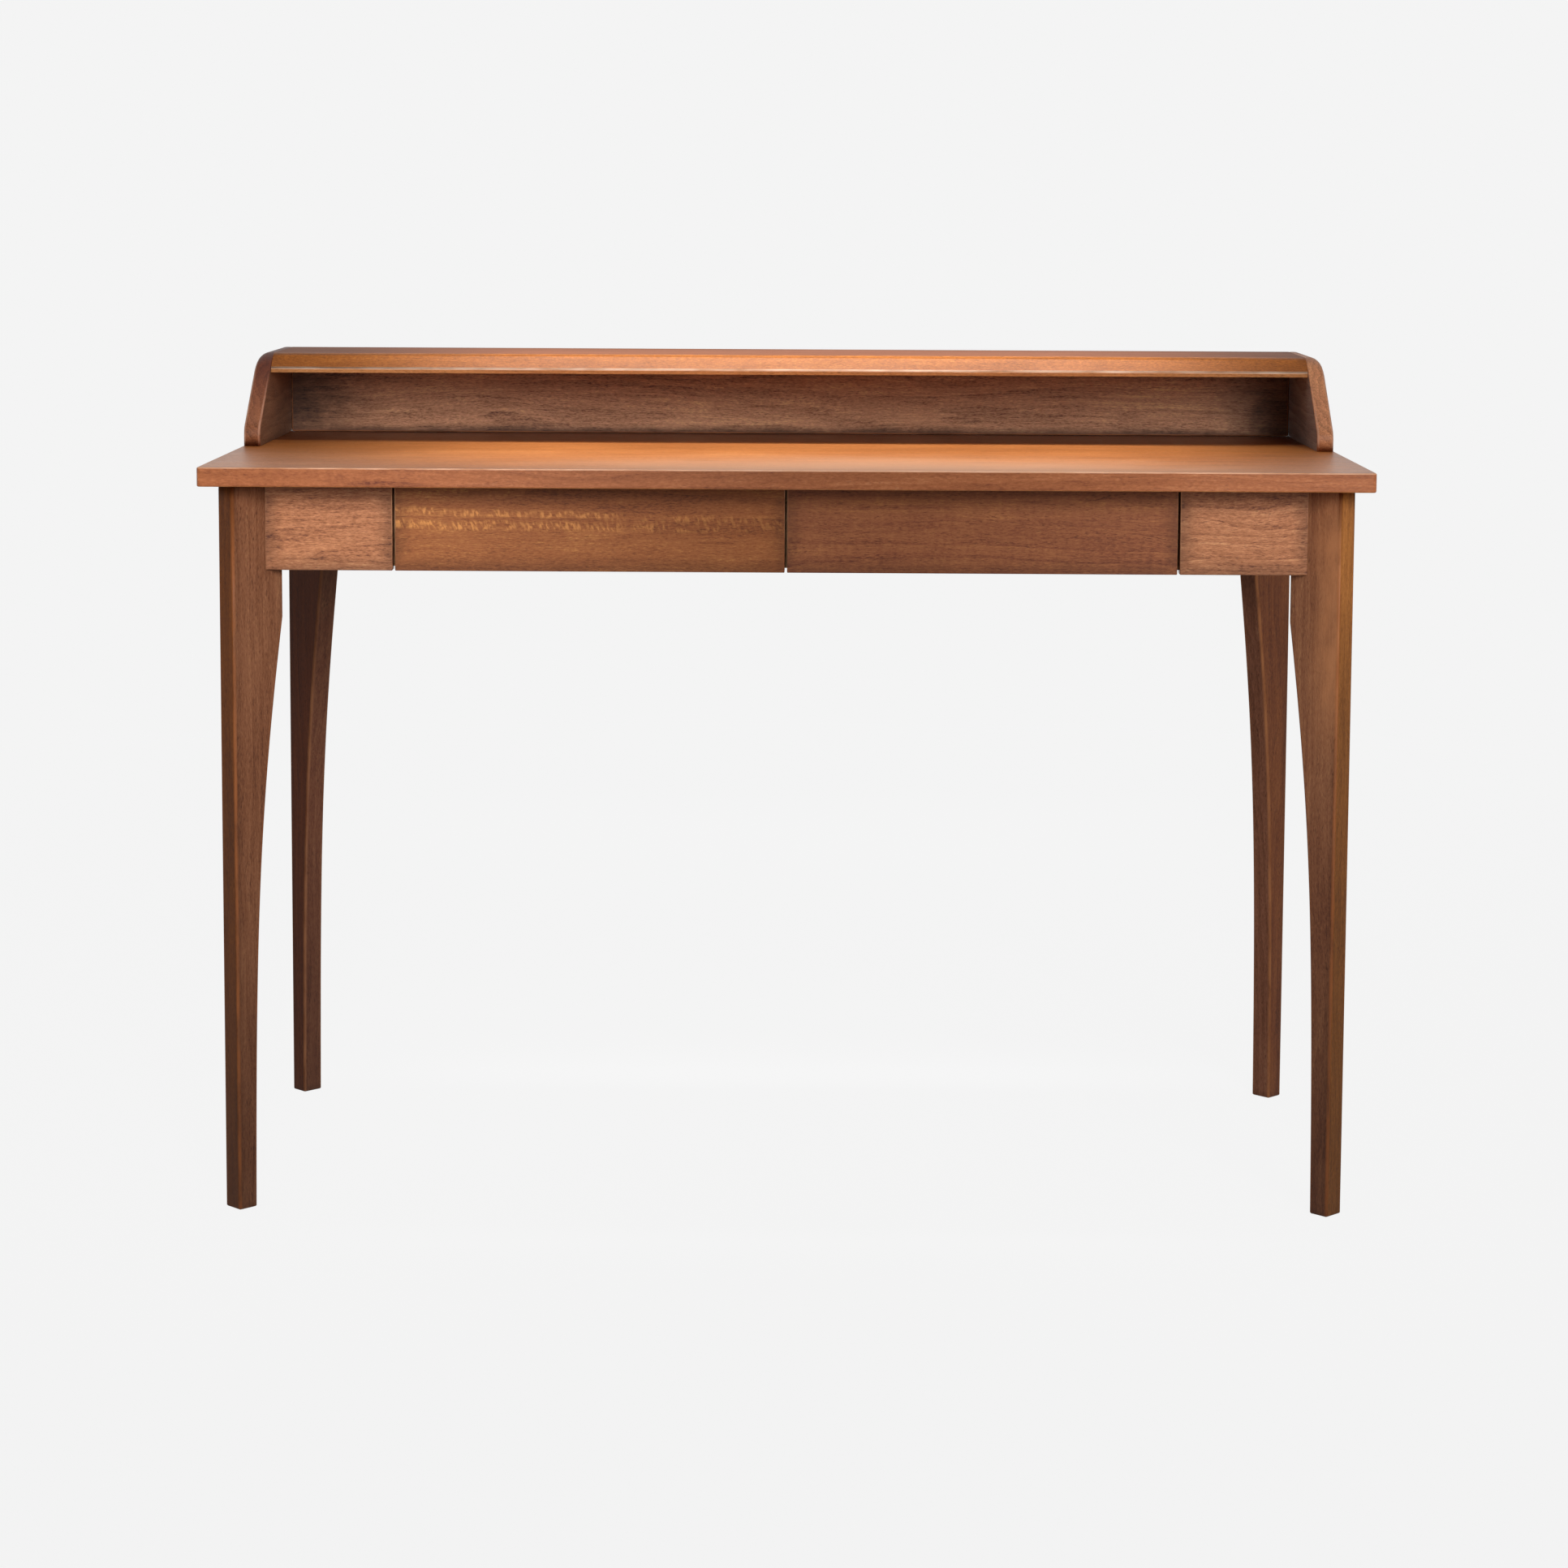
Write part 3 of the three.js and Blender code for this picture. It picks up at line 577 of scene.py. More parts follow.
def fleck_bars(tree, fields, up):
    """Slanted bars in clumps."""
    lean = add(tree, "Math", {0: up, 1: FLECK_SLANT}, operation="MULTIPLY")
    lean = add(tree, "CombineXYZ", {"X": lean})
    slanted = add(tree, "VectorMath", {0: fields["seeded"], 1: lean}, operation="ADD")
    bars = noise_at(tree, slanted, FLECK_SIZE, Detail=2.0, Roughness=0.5, Distortion=0.25)
    bars = add(tree, "MapRange", {"Value": bars, "From": FLECK_LEVELS})
    clumps = noise_at(tree, fields["seeded"], FLECK_CLUMP, Detail=1.0)
    clumps = add(tree, "MapRange", {"Value": clumps, "From": CLUMP_LEVELS, "To": (CLUMP_LEAST, 1.0)})
    return add(tree, "Math", {0: bars, 1: clumps}, operation="MULTIPLY")


print("a fleck:", FLECK_SIZE[0], "mm wide and", FLECK_SIZE[1], "mm high")

# %% [markdown]
# Two bands across the board let the flecks through. The rows fall and draw together from the left end to the
# right one, and fade on the way. They also sway a little, as the grain does.

# %% Rows of flecks
FLECK_SPAN = (-205.0, 215.0)  # along the board, where the rows start to fall and where they end
FLECK_SWAY = (110, 400, 400)
FLECK_SWAY_BY = 10.0  # millimetres up and down
FLECK_ROWS = ((19.0, 5.0), (4.5, 6.5))  # height above the board's middle at the left, half the row's height
FLECK_FALL = 9.0
FLECK_CORE = 0.4  # share of a row's half height at which its flecks are full
FLECK_FADE = (1.0, 0.2)
FLECK_GOLD = "#d99350"


def fleck_band(tree, fields, colour):
    """Two rows of golden flecks, which draw together and fade towards the right."""
    parts = add(tree, "SeparateXYZ", {0: fields["board"]})
    flecks = fleck_bars(tree, fields, parts.outputs["Y"])
    along = add(tree, "MapRange", {"Value": parts.outputs["X"], "From": FLECK_SPAN})
    fade = add(tree, "MapRange", {"Value": along, "To": FLECK_FADE})
    sway = noise_at(tree, fields["seeded"], FLECK_SWAY, Detail=1.0)
    level = add(tree, "Math", {0: sway, 1: FLECK_SWAY_BY, 2: parts.outputs["Y"]}, operation="MULTIPLY_ADD")
    level = add(tree, "Math", {0: level, 1: FLECK_SWAY_BY / 2}, operation="SUBTRACT")
    for row, spread in FLECK_ROWS:
        fall = FLECK_FALL * row / FLECK_ROWS[0][0]
        gap = add(tree, "Math", {0: along, 1: fall, 2: level}, operation="MULTIPLY_ADD")
        gap = add(tree, "Math", {0: gap, 1: row}, operation="SUBTRACT")
        gap = add(tree, "Math", {0: gap}, operation="ABSOLUTE")
        inside = add(tree, "MapRange", {"Value": gap, "From": (spread, spread * FLECK_CORE)})
        bright = add(tree, "Math", {0: inside, 1: flecks}, operation="MULTIPLY")
        bright = add(tree, "Math", {0: bright, 1: fade}, operation="MULTIPLY")
        colour = add(tree, "Mix", {"Factor": bright, "A": colour, "B": linear(FLECK_GOLD)}, **BLEND)
    return colour


print("rows of flecks:", len(FLECK_ROWS))

# %% [markdown]
# In the middle of its front edge the tabletop has a paler, pinker patch with a soft rim, which is a painted
# sheen. Under the shelf the tabletop is darkened with painted shade.

# %% Painted sheen and shade on the tabletop
PAINTED_SHEEN_CENTRE = (105, -300)
PAINTED_SHEEN_HALF = (500, 265)
PAINTED_SHEEN_RIM = (1.0, 0.25)
PAINTED_SHEEN_SWAY = (140, 60, 60)
PAINTED_SHEEN_SWAY_BY = 0.4
PAINTED_SHEEN_PALE = "#e0a982"
PAINTED_SHEEN_MOST = 0.66
UPPER_FACE = 9.0  # above the board's middle, so that only the upper face gets the painted sheen
SHELF_SHADE_SPAN = (118, 132)  # from the middle of the board backwards, where the painted shade under the shelf starts and where it is full
SHELF_SHADE_DARK = "#a08b86"


def painted_top_sheen_and_shade(tree, fields, colour):
    """A painted sheen at the middle of the front, and painted shade under the shelf."""
    sway = noise_at(tree, fields["seeded"], PAINTED_SHEEN_SWAY, Detail=3.0)
    sway = add(tree, "Math", {0: sway, 1: NOISE_MIDDLE}, operation="SUBTRACT")
    across = add(tree, "VectorMath", {0: fields["board"], 1: (*PAINTED_SHEEN_CENTRE, 0)}, operation="SUBTRACT")
    widths = (1 / PAINTED_SHEEN_HALF[0], 1 / PAINTED_SHEEN_HALF[1], 0)
    across = add(tree, "VectorMath", {0: across, 1: widths}, operation="MULTIPLY")
    reach = add(tree, "VectorMath", {0: across}, operation="LENGTH").outputs["Value"]
    reach = add(tree, "Math", {0: sway, 1: PAINTED_SHEEN_SWAY_BY, 2: reach}, operation="MULTIPLY_ADD")
    # the painted sheen: how much of the pale, pinker colour is laid over the wood
    pale_amount = add(tree, "MapRange", {"Value": reach, "From": PAINTED_SHEEN_RIM, "To": (0.0, PAINTED_SHEEN_MOST)}, **SMOOTH)
    parts = add(tree, "SeparateXYZ", {0: fields["board"]})
    upper = add(tree, "Math", {0: parts.outputs["Z"], 1: UPPER_FACE}, operation="GREATER_THAN")
    pale_amount = add(tree, "Math", {0: pale_amount, 1: upper}, operation="MULTIPLY")
    colour = add(tree, "Mix", {"Factor": pale_amount, "A": colour, "B": linear(PAINTED_SHEEN_PALE)}, **BLEND)
    # painted shade: the shelf's shadow on the tabletop, darker from here backwards
    shelf_shade = add(tree, "MapRange", {"Value": parts.outputs["Y"], "From": SHELF_SHADE_SPAN}, **SMOOTH)
    return add(tree, "Mix", {"Factor": shelf_shade, "A": colour, "B": linear(SHELF_SHADE_DARK)}, **DARKEN)


# the patch is a painted sheen
print("rubbed patch:", 2 * PAINTED_SHEEN_HALF[0], "mm wide")

# %% [markdown]
# The left side of the hutch is darker towards its crown.

# %% Darker towards a crown
CROWN_SPAN = (-42, 44)
CROWN_DARK = "#a88478"


def crown_toner(tree, fields, colour):
    """Darker from the foot of an upright board to its top."""
    parts = add(tree, "SeparateXYZ", {0: fields["board"]})
    share = add(tree, "MapRange", {"Value": parts.outputs["Y"], "From": CROWN_SPAN}, **SMOOTH)
    return add(tree, "Mix", {"Factor": share, "A": colour, "B": linear(CROWN_DARK)}, **DARKEN)


print("crown toner: over", CROWN_SPAN[1] - CROWN_SPAN[0], "mm of height")

# %% [markdown]
# The right front leg has a painted pool of light below the apron. The outer half of its face is a paler,
# golden patch there that fades inwards and downwards.

# %% Painted light on the right front leg
LIT_PATCH_MIDDLE = 250  # above the leg's middle
LIT_PATCH_REACH = (60, 165)  # up and down from there, where the patch is full and where it is gone
LIT_PATCH_ACROSS = (-26, 14)  # the same, inwards from the leg's middle
LIT_PATCH_MOTTLE = (30, 16, 16)
LIT_PATCH_LEVELS = (0.3, 0.6)
LIT_PATCH_LEAST = 0.5
LIT_PATCH_PALE = "#c88659"
LIT_PATCH_MOST = 0.8


def painted_light_patch(tree, fields, colour):
    """Painted light along the outer half of a leg, below the apron."""
    parts = add(tree, "SeparateXYZ", {0: fields["board"]})
    up = add(tree, "Math", {0: parts.outputs["X"], 1: LIT_PATCH_MIDDLE}, operation="SUBTRACT")
    up = add(tree, "Math", {0: up}, operation="ABSOLUTE")
    near = {"Value": up, "From": LIT_PATCH_REACH[::-1], "To": (0.0, LIT_PATCH_MOST)}
    near = add(tree, "MapRange", near, **SMOOTH)
    outer = add(tree, "MapRange", {"Value": parts.outputs["Y"], "From": LIT_PATCH_ACROSS[::-1]}, **SMOOTH)
    mottle = noise_at(tree, fields["seeded"], LIT_PATCH_MOTTLE, Detail=3.0)
    mottle = add(tree, "MapRange", {"Value": mottle, "From": LIT_PATCH_LEVELS, "To": (LIT_PATCH_LEAST, 1.0)})
    pale_share = add(tree, "Math", {0: near, 1: outer}, operation="MULTIPLY")
    pale_share = add(tree, "Math", {0: pale_share, 1: mottle}, operation="MULTIPLY")
    return add(tree, "Mix", {"Factor": pale_share, "A": colour, "B": linear(LIT_PATCH_PALE)}, **BLEND)


# the patch is painted light
print("handled patch:", 2 * LIT_PATCH_REACH[1], "mm long")

# %% [markdown]
# The finishes. All are the same stain on boards from different logs, so they share the material and differ in
# tone and figure, and several carry painted light and shade as well. Each is mixed from what its family
# shares and what it has of its own. Its four colours run from the darkest to the palest, and one more is the
# colour of its pale arrises. The contrasts are those of the rings, streaks, fibres and blotches.


# %% Mix a finish
finishes = {}


def mix_finish(name, tones, arris, family, **own):
    """Mixes a finish from its family's settings and its own, and keeps it under its name."""
    finishes[name] = stained_hardwood("stained_hardwood_" + name, tones, arris, **{**family, **own})
    print("finish:", finishes[name].name)


# %% [markdown]
# The tabletop and the shelf are the lightest boards: orange-brown, straight-grained, with a sheen that draws
# out the light in long soft bands. The shelf's slant ripples, because its grain comes to the surface there.
# Its top is dull from dust and things that were put on it.

# %% Finishes of the tabletop and the shelf
# TOP_PALE and RIDGE_PALE paint the highlight on the tabletop's upper arris and along the shelf's ridge.
TOP_PALE = "#e0ab88"
RIDGE_PALE = "#f4d2b8"
EDGE_PALE = "#d39a74"
TOP = {"ring": 11, "roughness": 0.36}
SHELF = {"ring": 8, "pores": 0.7, "glaze": 0.25, "roughness": 0.42}

# The tabletop's faint rings and lively fibres read as a board that was cut near the log's radius.
mix_finish(
    "tabletop", ["#844a23", "#a8632f", "#c1763c", "#d58f54"], TOP_PALE, TOP,
    contrast=(0.12, 0.5, 0.6, 0.4), pores=0.5, ripple=(0.1, (6, 20, 26)), glaze=0.12,
    specular=0.25, wear=painted_top_sheen_and_shade,
)
# Its edge is sanded finer and took up less toner, so it is pinker.
mix_finish(
    "tabletop_edge", ["#7f402b", "#b4693f", "#ce7d4e", "#e89a67"], TOP_PALE, TOP,
    contrast=(0.2, 0.35, 0.45, 0.5), pores=0.4, ripple=(0.3, (5, 3, 3)), glaze=0.3,
    glaze_reach=(10, 5), specular=0.22,
)
# The slant's short ripples glitter.
mix_finish(
    "shelf", ["#824515", "#a65e1f", "#c06f29", "#d2883a"], RIDGE_PALE, SHELF,
    contrast=(0.15, 0.25, 0.7, 0.3), ripple=(0.55, (2.4, 2.0, 2.0)), specular=0.15,
)
# The nose stands upright in the shade below the ridge, and is calmer. Its paler colours are painted light
# that makes up for that shade.
mix_finish(
    "shelf_nose", ["#9a633a", "#c4844f", "#e09c5f", "#f8bc85"], RIDGE_PALE, SHELF,
    contrast=(0.15, 0.25, 0.45, 0.3), ripple=(0.3, (4, 2.5, 2.5)), specular=0.08,
)
# A matt surface turns the shelf's top grey-brown under the lamp.
mix_finish(
    "dulled_shelf_top", ["#5e331e", "#7a4628", "#8e5332", "#9e603f"], EDGE_PALE, SHELF,
    contrast=(0.2, 0.3, 0.3, 0.3), pores=0.5, glaze=0.15, roughness=0.62, specular=0.2,
)

# %% [markdown]
# The fixed panels and the aprons are lively boards with close rings and wavy fibres. The drawer fronts are
# calmer and darker. All have a satin sheen, which shows the grain and no reflections.

# %% Finishes of the aprons and the drawers
DRAWER = {"glaze": 0.35, "roughness": 0.5, "specular": 0.2}

# Wavy fibres give the panels short bars across the grain.
mix_finish(
    "panel", ["#633629", "#a66a46", "#c4835b", "#d99f6f"], EDGE_PALE, {},
    ring=7, wander=22, contrast=(0.26, 0.42, 0.7, 0.3), pores=0.65, ripple=(0.35, (11, 5, 5)),
    glaze=0.45, roughness=0.5, specular=0.22,
)
# The left front shows golden flecks on a plain, yellower board.
mix_finish(
    "flecked_drawer", ["#522918", "#8c502b", "#a36338", "#c48749"], EDGE_PALE, DRAWER,
    ring=13, contrast=(0.25, 0.26, 0.6, 0.4), pores=0.5, wear=fleck_band,
)
# The right front is redder and has no flecks.
mix_finish(
    "plain_drawer", ["#4e251b", "#844b30", "#9e613d", "#b87846"], EDGE_PALE, DRAWER,
    ring=12, contrast=(0.25, 0.3, 0.52, 0.4), pores=0.6, ripple=(0.26, (5, 16, 26)),
)

# %% [markdown]
# The legs have the darkest tone, and painted shade darkens them towards the foot. A leg's faces have finishes
# of their own, which paint the light and shade that fall on each: the broad faces, the narrow edge that looks
# outwards and the hollow curve inside. We start with the broad faces of the front legs. They are an even
# brown, with painted shade at the foot.

# %% Finishes of the front legs
LEG_PALE = "#965830"
FOOT, ABOVE_KNEE = -1.0, 0.3
LEG = {
    "ring": 9,
    "contrast": (0.2, 0.3, 0.44, 0.4),
    "pores": 0.6,
    "glaze": 0.25,
    "glaze_reach": (7, 7),
    "roughness": 0.5,
    "specular": 0.15,
}
FRONT_LEG = {**LEG, "contrast": (0.2, 0.3, 0.46, 0.4)}

mix_finish(
    "leg", ["#3d1f16", "#72462e", "#88593e", "#a0714b"], LEG_PALE, FRONT_LEG,
    toner=(0.25, FOOT, ABOVE_KNEE),
)
# The right one is painted lighter, for the light from the right, and has a painted pool of light below the
# apron.
mix_finish(
    "right_leg", ["#46241b", "#815037", "#9b6748", "#b58057"], LEG_PALE, FRONT_LEG,
    toner=(0.4, FOOT, ABOVE_KNEE), wear=painted_light_patch,
)

# %% [markdown]
# The rear legs stand in the desk's own shade. Each has one finish for its broad faces and one for its hollow
# inner side, which paint the different light and shade that fall on them.

# %% Finishes of the rear legs
REAR_PALE = "#8f5f40"
RIGHT_REAR_PALE = "#a86e46"

# Where they are lit: brown on the left one's inner side, warmer on the right one's broad faces.
mix_finish(
    "rear_leg", ["#3c2316", "#663c2a", "#7a4f38", "#8d6345"], REAR_PALE, LEG,
    toner=(0.4, FOOT, ABOVE_KNEE),
)
mix_finish(
    "right_rear_leg", ["#41210e", "#6d3a1e", "#834c29", "#966033"], RIGHT_REAR_PALE, LEG,
)
# Painted shade: their deep brown faces, with little sheen. On the right one's inner side it is darkest at the
# top.
mix_finish(
    "shaded_rear_leg", ["#2b1005", "#49210e", "#592c15", "#663a1c"], REAR_PALE, LEG,
    toner=(0.2, FOOT, ABOVE_KNEE), specular=0.08,
)
mix_finish(
    "right_rear_leg_taper", ["#47291e", "#754934", "#8c5c46", "#a17756"], RIGHT_REAR_PALE, LEG,
    toner=(0.35, 1.0, -0.2), specular=0.08,
)

# %% [markdown]
# The narrow outer edges of the legs are golden brown. They were sanded finer than the broad faces, so pores
# and glaze are fainter there.

# %% Finishes of the legs' edges
LEG_EDGE = {**LEG, "pores": 0.5, "glaze": 0.1, "glaze_reach": (5, 5), "specular": 0.12}

mix_finish(
    "leg_edge", ["#401f09", "#613311", "#764119", "#895021"], LEG_PALE, LEG_EDGE,
    toner=(0.4, FOOT, ABOVE_KNEE),
)
# On the right front leg the edge is painted bright in its upper part, for the light from the right, with
# painted shade lower down.
mix_finish(
    "right_leg_edge", ["#64391a", "#935a29", "#b27137", "#cd8746"], LEG_PALE, LEG_EDGE,
    toner=(0.42, ABOVE_KNEE, 0.95),
)

# %% [markdown]
# The hutch is made of darker boards than the top. Its sides are plain, and their inner faces greyer than
# their outer ones. At the back's ends painted shade, where the sides shade it, is almost black.

# %% Finishes of the hutch
HUTCH_PALE = "#c9977c"
BACK_PALE = "#a56a48"
HUTCH = {
    "ring": 8,
    "contrast": (0.25, 0.3, 0.42, 0.4),
    "pores": 0.5,
    "glaze": 0.22,
    "glaze_reach": (10, 8),
    "roughness": 0.48,
    "specular": 0.22,
}

# Outside, the left side's crown is darker, and the right side is painted lighter for the light from the
# right. Inside, both are greyer.
mix_finish("hutch", ["#583321", "#955b3c", "#b4724d", "#d29363"], HUTCH_PALE, HUTCH, wear=crown_toner)
mix_finish("hutch_right", ["#6c442d", "#b47651", "#db9366", "#fdbc82"], HUTCH_PALE, HUTCH)
mix_finish("hutch_inside", ["#4b3526", "#815c46", "#9c7459", "#b69571"], HUTCH_PALE, HUTCH)
mix_finish("hutch_inside_right", ["#504741", "#8a7871", "#a6968e", "#c2c0b2"], HUTCH_PALE, HUTCH)
# The back: strong streaks, and a wide dark rim at its ends, which is painted shade cast by the sides.
mix_finish(
    "hutch_back", ["#59352c", "#a87656", "#c68e6c", "#e4b27c"], BACK_PALE, HUTCH,
    contrast=(0.25, 0.5, 0.65, 0.4), pores=0.6, glaze=0.8, glaze_reach=(75, 8), roughness=0.5,
    specular=0.2,
)

# %% [markdown]
# Boards. Each is an outline drawn in two directions and pulled along the third, like a real board that is cut
# to shape from a plank. A small function says which way the outline lies. The board's own axes, along the
# grain, across the face and through the thickness, are what the wood's pattern follows.


# %% Cut a board
def prism(outline, low, high, place):
    """A solid whose outline (u, v) is pulled along w from low to high. place turns u, v, w into a point."""
    bm = bmesh.new()
    ends = [[bm.verts.new(place(u, v, w)) for u, v in outline] for w in (low, high)]
    bm.faces.new(ends[0])
    bm.faces.new(reversed(ends[1]))
    for i in range(len(outline)):
        j = (i + 1) % len(outline)
        bm.faces.new((ends[0][j], ends[0][i], ends[1][i], ends[1][j]))
    bmesh.ops.recalc_face_normals(bm, faces=bm.faces)
    return bm


def in_xy(u, v, w):
    """An outline in plan, pulled upwards."""
    return (u, v, w)


def in_xz(u, v, w):
    """An outline seen from the front, pulled backwards."""
    return (u, w, v)


def in_yz(u, v, w):
    """An outline seen from the side, pulled to the right."""
    return (w, u, v)


X, Y, Z = Vector((1, 0, 0)), Vector((0, 1, 0)), Vector((0, 0, 1))
ALONG_X = (X, Z, Y)
FLAT_X = (X, Y, Z)
ALONG_Y = (Y, Z, X)
print("axes: boards along X upright or flat, and boards along Y upright")

# %% [markdown]
# A sharp computer edge never catches the light, so every arris is rounded with a few narrow faces. The points
# in the middle of a rounding are marked in an attribute, and the wood material paints them paler there,
# partly as rubbed stain and partly as a painted highlight.

# %% Ease the arrises
ARRIS_STEPS = 4
SHARP = math.radians(30)


def ease(bm, radius, chosen=None):
    """Rounds the sharp edges that chosen accepts, and marks the new points as arris."""
    layer = bm.verts.layers.float.new("arris")
    edges = [e for e in bm.edges if e.calc_face_angle(0) > SHARP and (chosen is None or chosen(e))]
    made = bmesh.ops.bevel(
        bm, geom=edges, offset=radius, segments=ARRIS_STEPS, profile=0.5, affect="EDGES", clamp_overlap=True
    )
    rounded = set(made["faces"])
    for vertex in made["verts"]:
        if all(face in rounded for face in vertex.link_faces):
            vertex[layer] = 1.0
    return bm


def unmark_lower_arrises(bm, below):
    """Takes the arris mark off the points below a height: a lower edge is neither rubbed nor given a painted
    highlight.
    """
    layer = bm.verts.layers.float["arris"]
    for vertex in bm.verts:
        if vertex.co.z < below:
            vertex[layer] = 0.0


print("an arris has", ARRIS_STEPS, "narrow faces")

# %% [markdown]
# A finished board gets smooth shading with normals weighted by face size, so that the broad faces stay dead
# flat and only the arrises turn. Then it rides on its body and stands for its node, which is hidden. Some
# boards have faces with a finish of their own, which are picked by the direction they look in.


# %% Finish a board
def facing(direction, least):
    """A test that picks the faces whose outward direction has a cosine to direction over least."""
    return lambda normal: normal.dot(direction) > least


def finish_board(bm, node, body, finish, axes, number, heart, middle=None, half=None, faces=()):
    """Turns a bmesh in millimetres into a piece of the desk that stands for a node of the frame.

    number sets the board apart in the wood's pattern, and heart is where its log's middle runs. faces are
    further finishes, each with the test that picks its faces.
    """
    mesh = bpy.data.meshes.new(node + "_board")
    bm.to_mesh(mesh)
    bm.free()
    low, high = box_mm(node)
    middle = (low + high) / 2 if middle is None else middle
    half = [abs((high - low).dot(axis)) / 2 for axis in axes] if half is None else half
    mark_board(mesh, middle, axes, half, heart, number)
    mesh.transform(Matrix.Scale(MM, 4))
    for polygon in mesh.polygons:
        polygon.use_smooth = True
    piece = bpy.data.objects.new(node + "_board", mesh)
    bpy.context.scene.collection.objects.link(piece)
    normals = piece.modifiers.new("flat faces", "WEIGHTED_NORMAL")
    normals.weight = 100
    mesh.materials.append(finish)
    for index, (further, picks) in enumerate(faces, 1):
        mesh.materials.append(further)
        for polygon in mesh.polygons:
            if picks(polygon.normal):
                polygon.material_index = index
    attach(piece, body)
    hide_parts(node)
    return piece


# %% [markdown]
# Two helpers draw outlines. Soft corners, such as the tabletop's, are short curves. Each corner is given as
# across, up and the distance at which its curve starts. A plain board needs only the rectangle of its node.


# %% Draw an outline
def soft_outline(corners, steps):
    """Points of a closed outline whose corners (u, v, round) are replaced by quadratic curves."""
    points = []
    for i, corner in enumerate(corners):
        here = Vector(corner[:2])
        reach = corner[2] if len(corner) > 2 else 0
        before = Vector(corners[i - 1][:2])
        after = Vector(corners[(i + 1) % len(corners)][:2])
        if not reach:
            points.append(tuple(here))
            continue
        start = here + (before - here).normalized() * reach
        end = here + (after - here).normalized() * reach
        for step in range(steps + 1):
            t = step / steps
            points.append(tuple(start * (1 - t) ** 2 + here * (2 * t * (1 - t)) + end * t**2))
    return points


def front_rectangle(low, high):
    """The outline of a plain board, seen from the front."""
    return [(low.x, low.z), (high.x, low.z), (high.x, high.z), (low.x, high.z)]


# %% [markdown]
# The tabletop is one flat board, 20 mm thick, with a square edge and small, hand-sanded arrises.

# %% The tabletop
TOP_CORNER = 5
TOP_ARRIS = 1.6

x, y = top_high.x, top_high.y
corners = [(-x, -y, TOP_CORNER), (x, -y, TOP_CORNER), (x, y, TOP_CORNER), (-x, y, TOP_CORNER)]
bm = ease(prism(soft_outline(corners, steps=5), top_low.z, top_high.z, in_xy), TOP_ARRIS)
unmark_lower_arrises(bm, top_low.z + 2 * TOP_ARRIS)
upright = (finishes["tabletop_edge"], lambda normal: abs(normal.z) < 0.5)
tabletop = finish_board(
    bm, "tabletop", "desk_frame", finishes["tabletop"], FLAT_X, 1, (-60, -220), faces=(upright,)
)
print("tabletop:", len(tabletop.data.polygons), "faces")

# %% [markdown]
# Each leg is a 25 mm board that stands on the diagonal of its corner. Its outer edge is straight, and its
# inner edge tapers from below the knee to a small square foot on a long hollow curve. The curve is a Bezier
# with two handles, given as shares of its width and height.

# %% Taper of a leg
LEG_WIDTH = 63.5
FOOT_WIDTH = 22.5
KNEE_DROP = 50
TAPER_STEPS = 36
TAPER_HANDLES = ((0.073, 0.484), (0.22, 0.665))

knee = box_mm("side_apron_left")[0].z - KNEE_DROP
print("knee:", round(knee, 1), "mm above the floor")


def taper():
    """Heights and widths of the leg from the foot to the knee, along the curve of its inner edge."""
    spread = LEG_WIDTH - FOOT_WIDTH
    points = [(FOOT_WIDTH, 0)]
    points += [(FOOT_WIDTH + spread * width, knee * rise) for width, rise in TAPER_HANDLES]
    points += [(LEG_WIDTH, knee)]
    for step in range(TAPER_STEPS + 1):
        t = step / TAPER_STEPS
        weights = ((1 - t) ** 3, 3 * t * (1 - t) ** 2, 3 * t * t * (1 - t), t**3)
        yield tuple(sum(w * point[i] for w, point in zip(weights, points)) for i in (1, 0))


# %% [markdown]
# A bevel follows such a curve badly, so a leg is built from rounded cross-sections, one above the other. Each
# point of a section also says how rubbed it is: most on the rounding, less at its rim and not on the flats.

# %% Cross-section of a leg
LEG_THICKNESS = 25
LEG_ARRIS = 2.4
LEG_RUB = 1.2  # how far the rubbed band runs onto the flats
RUB_ROUND, RUB_RIM = 0.8, 0.4  # how rubbed an arris is, on its rounding and at the rim of it


def leg_section(width, shrink):
    """A rounded rectangle in the leg's own frame: (inwards, across, arris) for every point."""
    points = []
    corners = ((0, -1, 180), (width, -1, 270), (width, 1, 0), (0, 1, 90))
    for u, side, start in corners:
        centre_u = u + (LEG_ARRIS if u == 0 else -LEG_ARRIS)
        centre_v = side * (LEG_THICKNESS / 2 - LEG_ARRIS)
        reach = LEG_ARRIS - shrink
        for step in range(-1, ARRIS_STEPS + 2):
            turn = min(max(step, 0), ARRIS_STEPS)
            angle = math.radians(start + 90 * turn / ARRIS_STEPS)
            along = Vector((-math.sin(angle), math.cos(angle))) * LEG_RUB * (step - turn)
            at_u = centre_u + reach * math.cos(angle) + along.x
            at_v = centre_v + reach * math.sin(angle) + along.y
            pale_amount = RUB_RIM if step in (0, ARRIS_STEPS) else RUB_ROUND
            points.append((at_u, at_v, pale_amount if step == turn else 0.0))
    return points


print("cross-section:", len(leg_section(LEG_WIDTH, 0.0)), "points")

# %% [markdown]
# The sections are stacked from the foot to the top, and a skin of faces joins each to the next. A small
# chamfer round the foot keeps it from splintering when the desk is pushed.

# %% Build a leg
FOOT_CHAMFER = 1.0


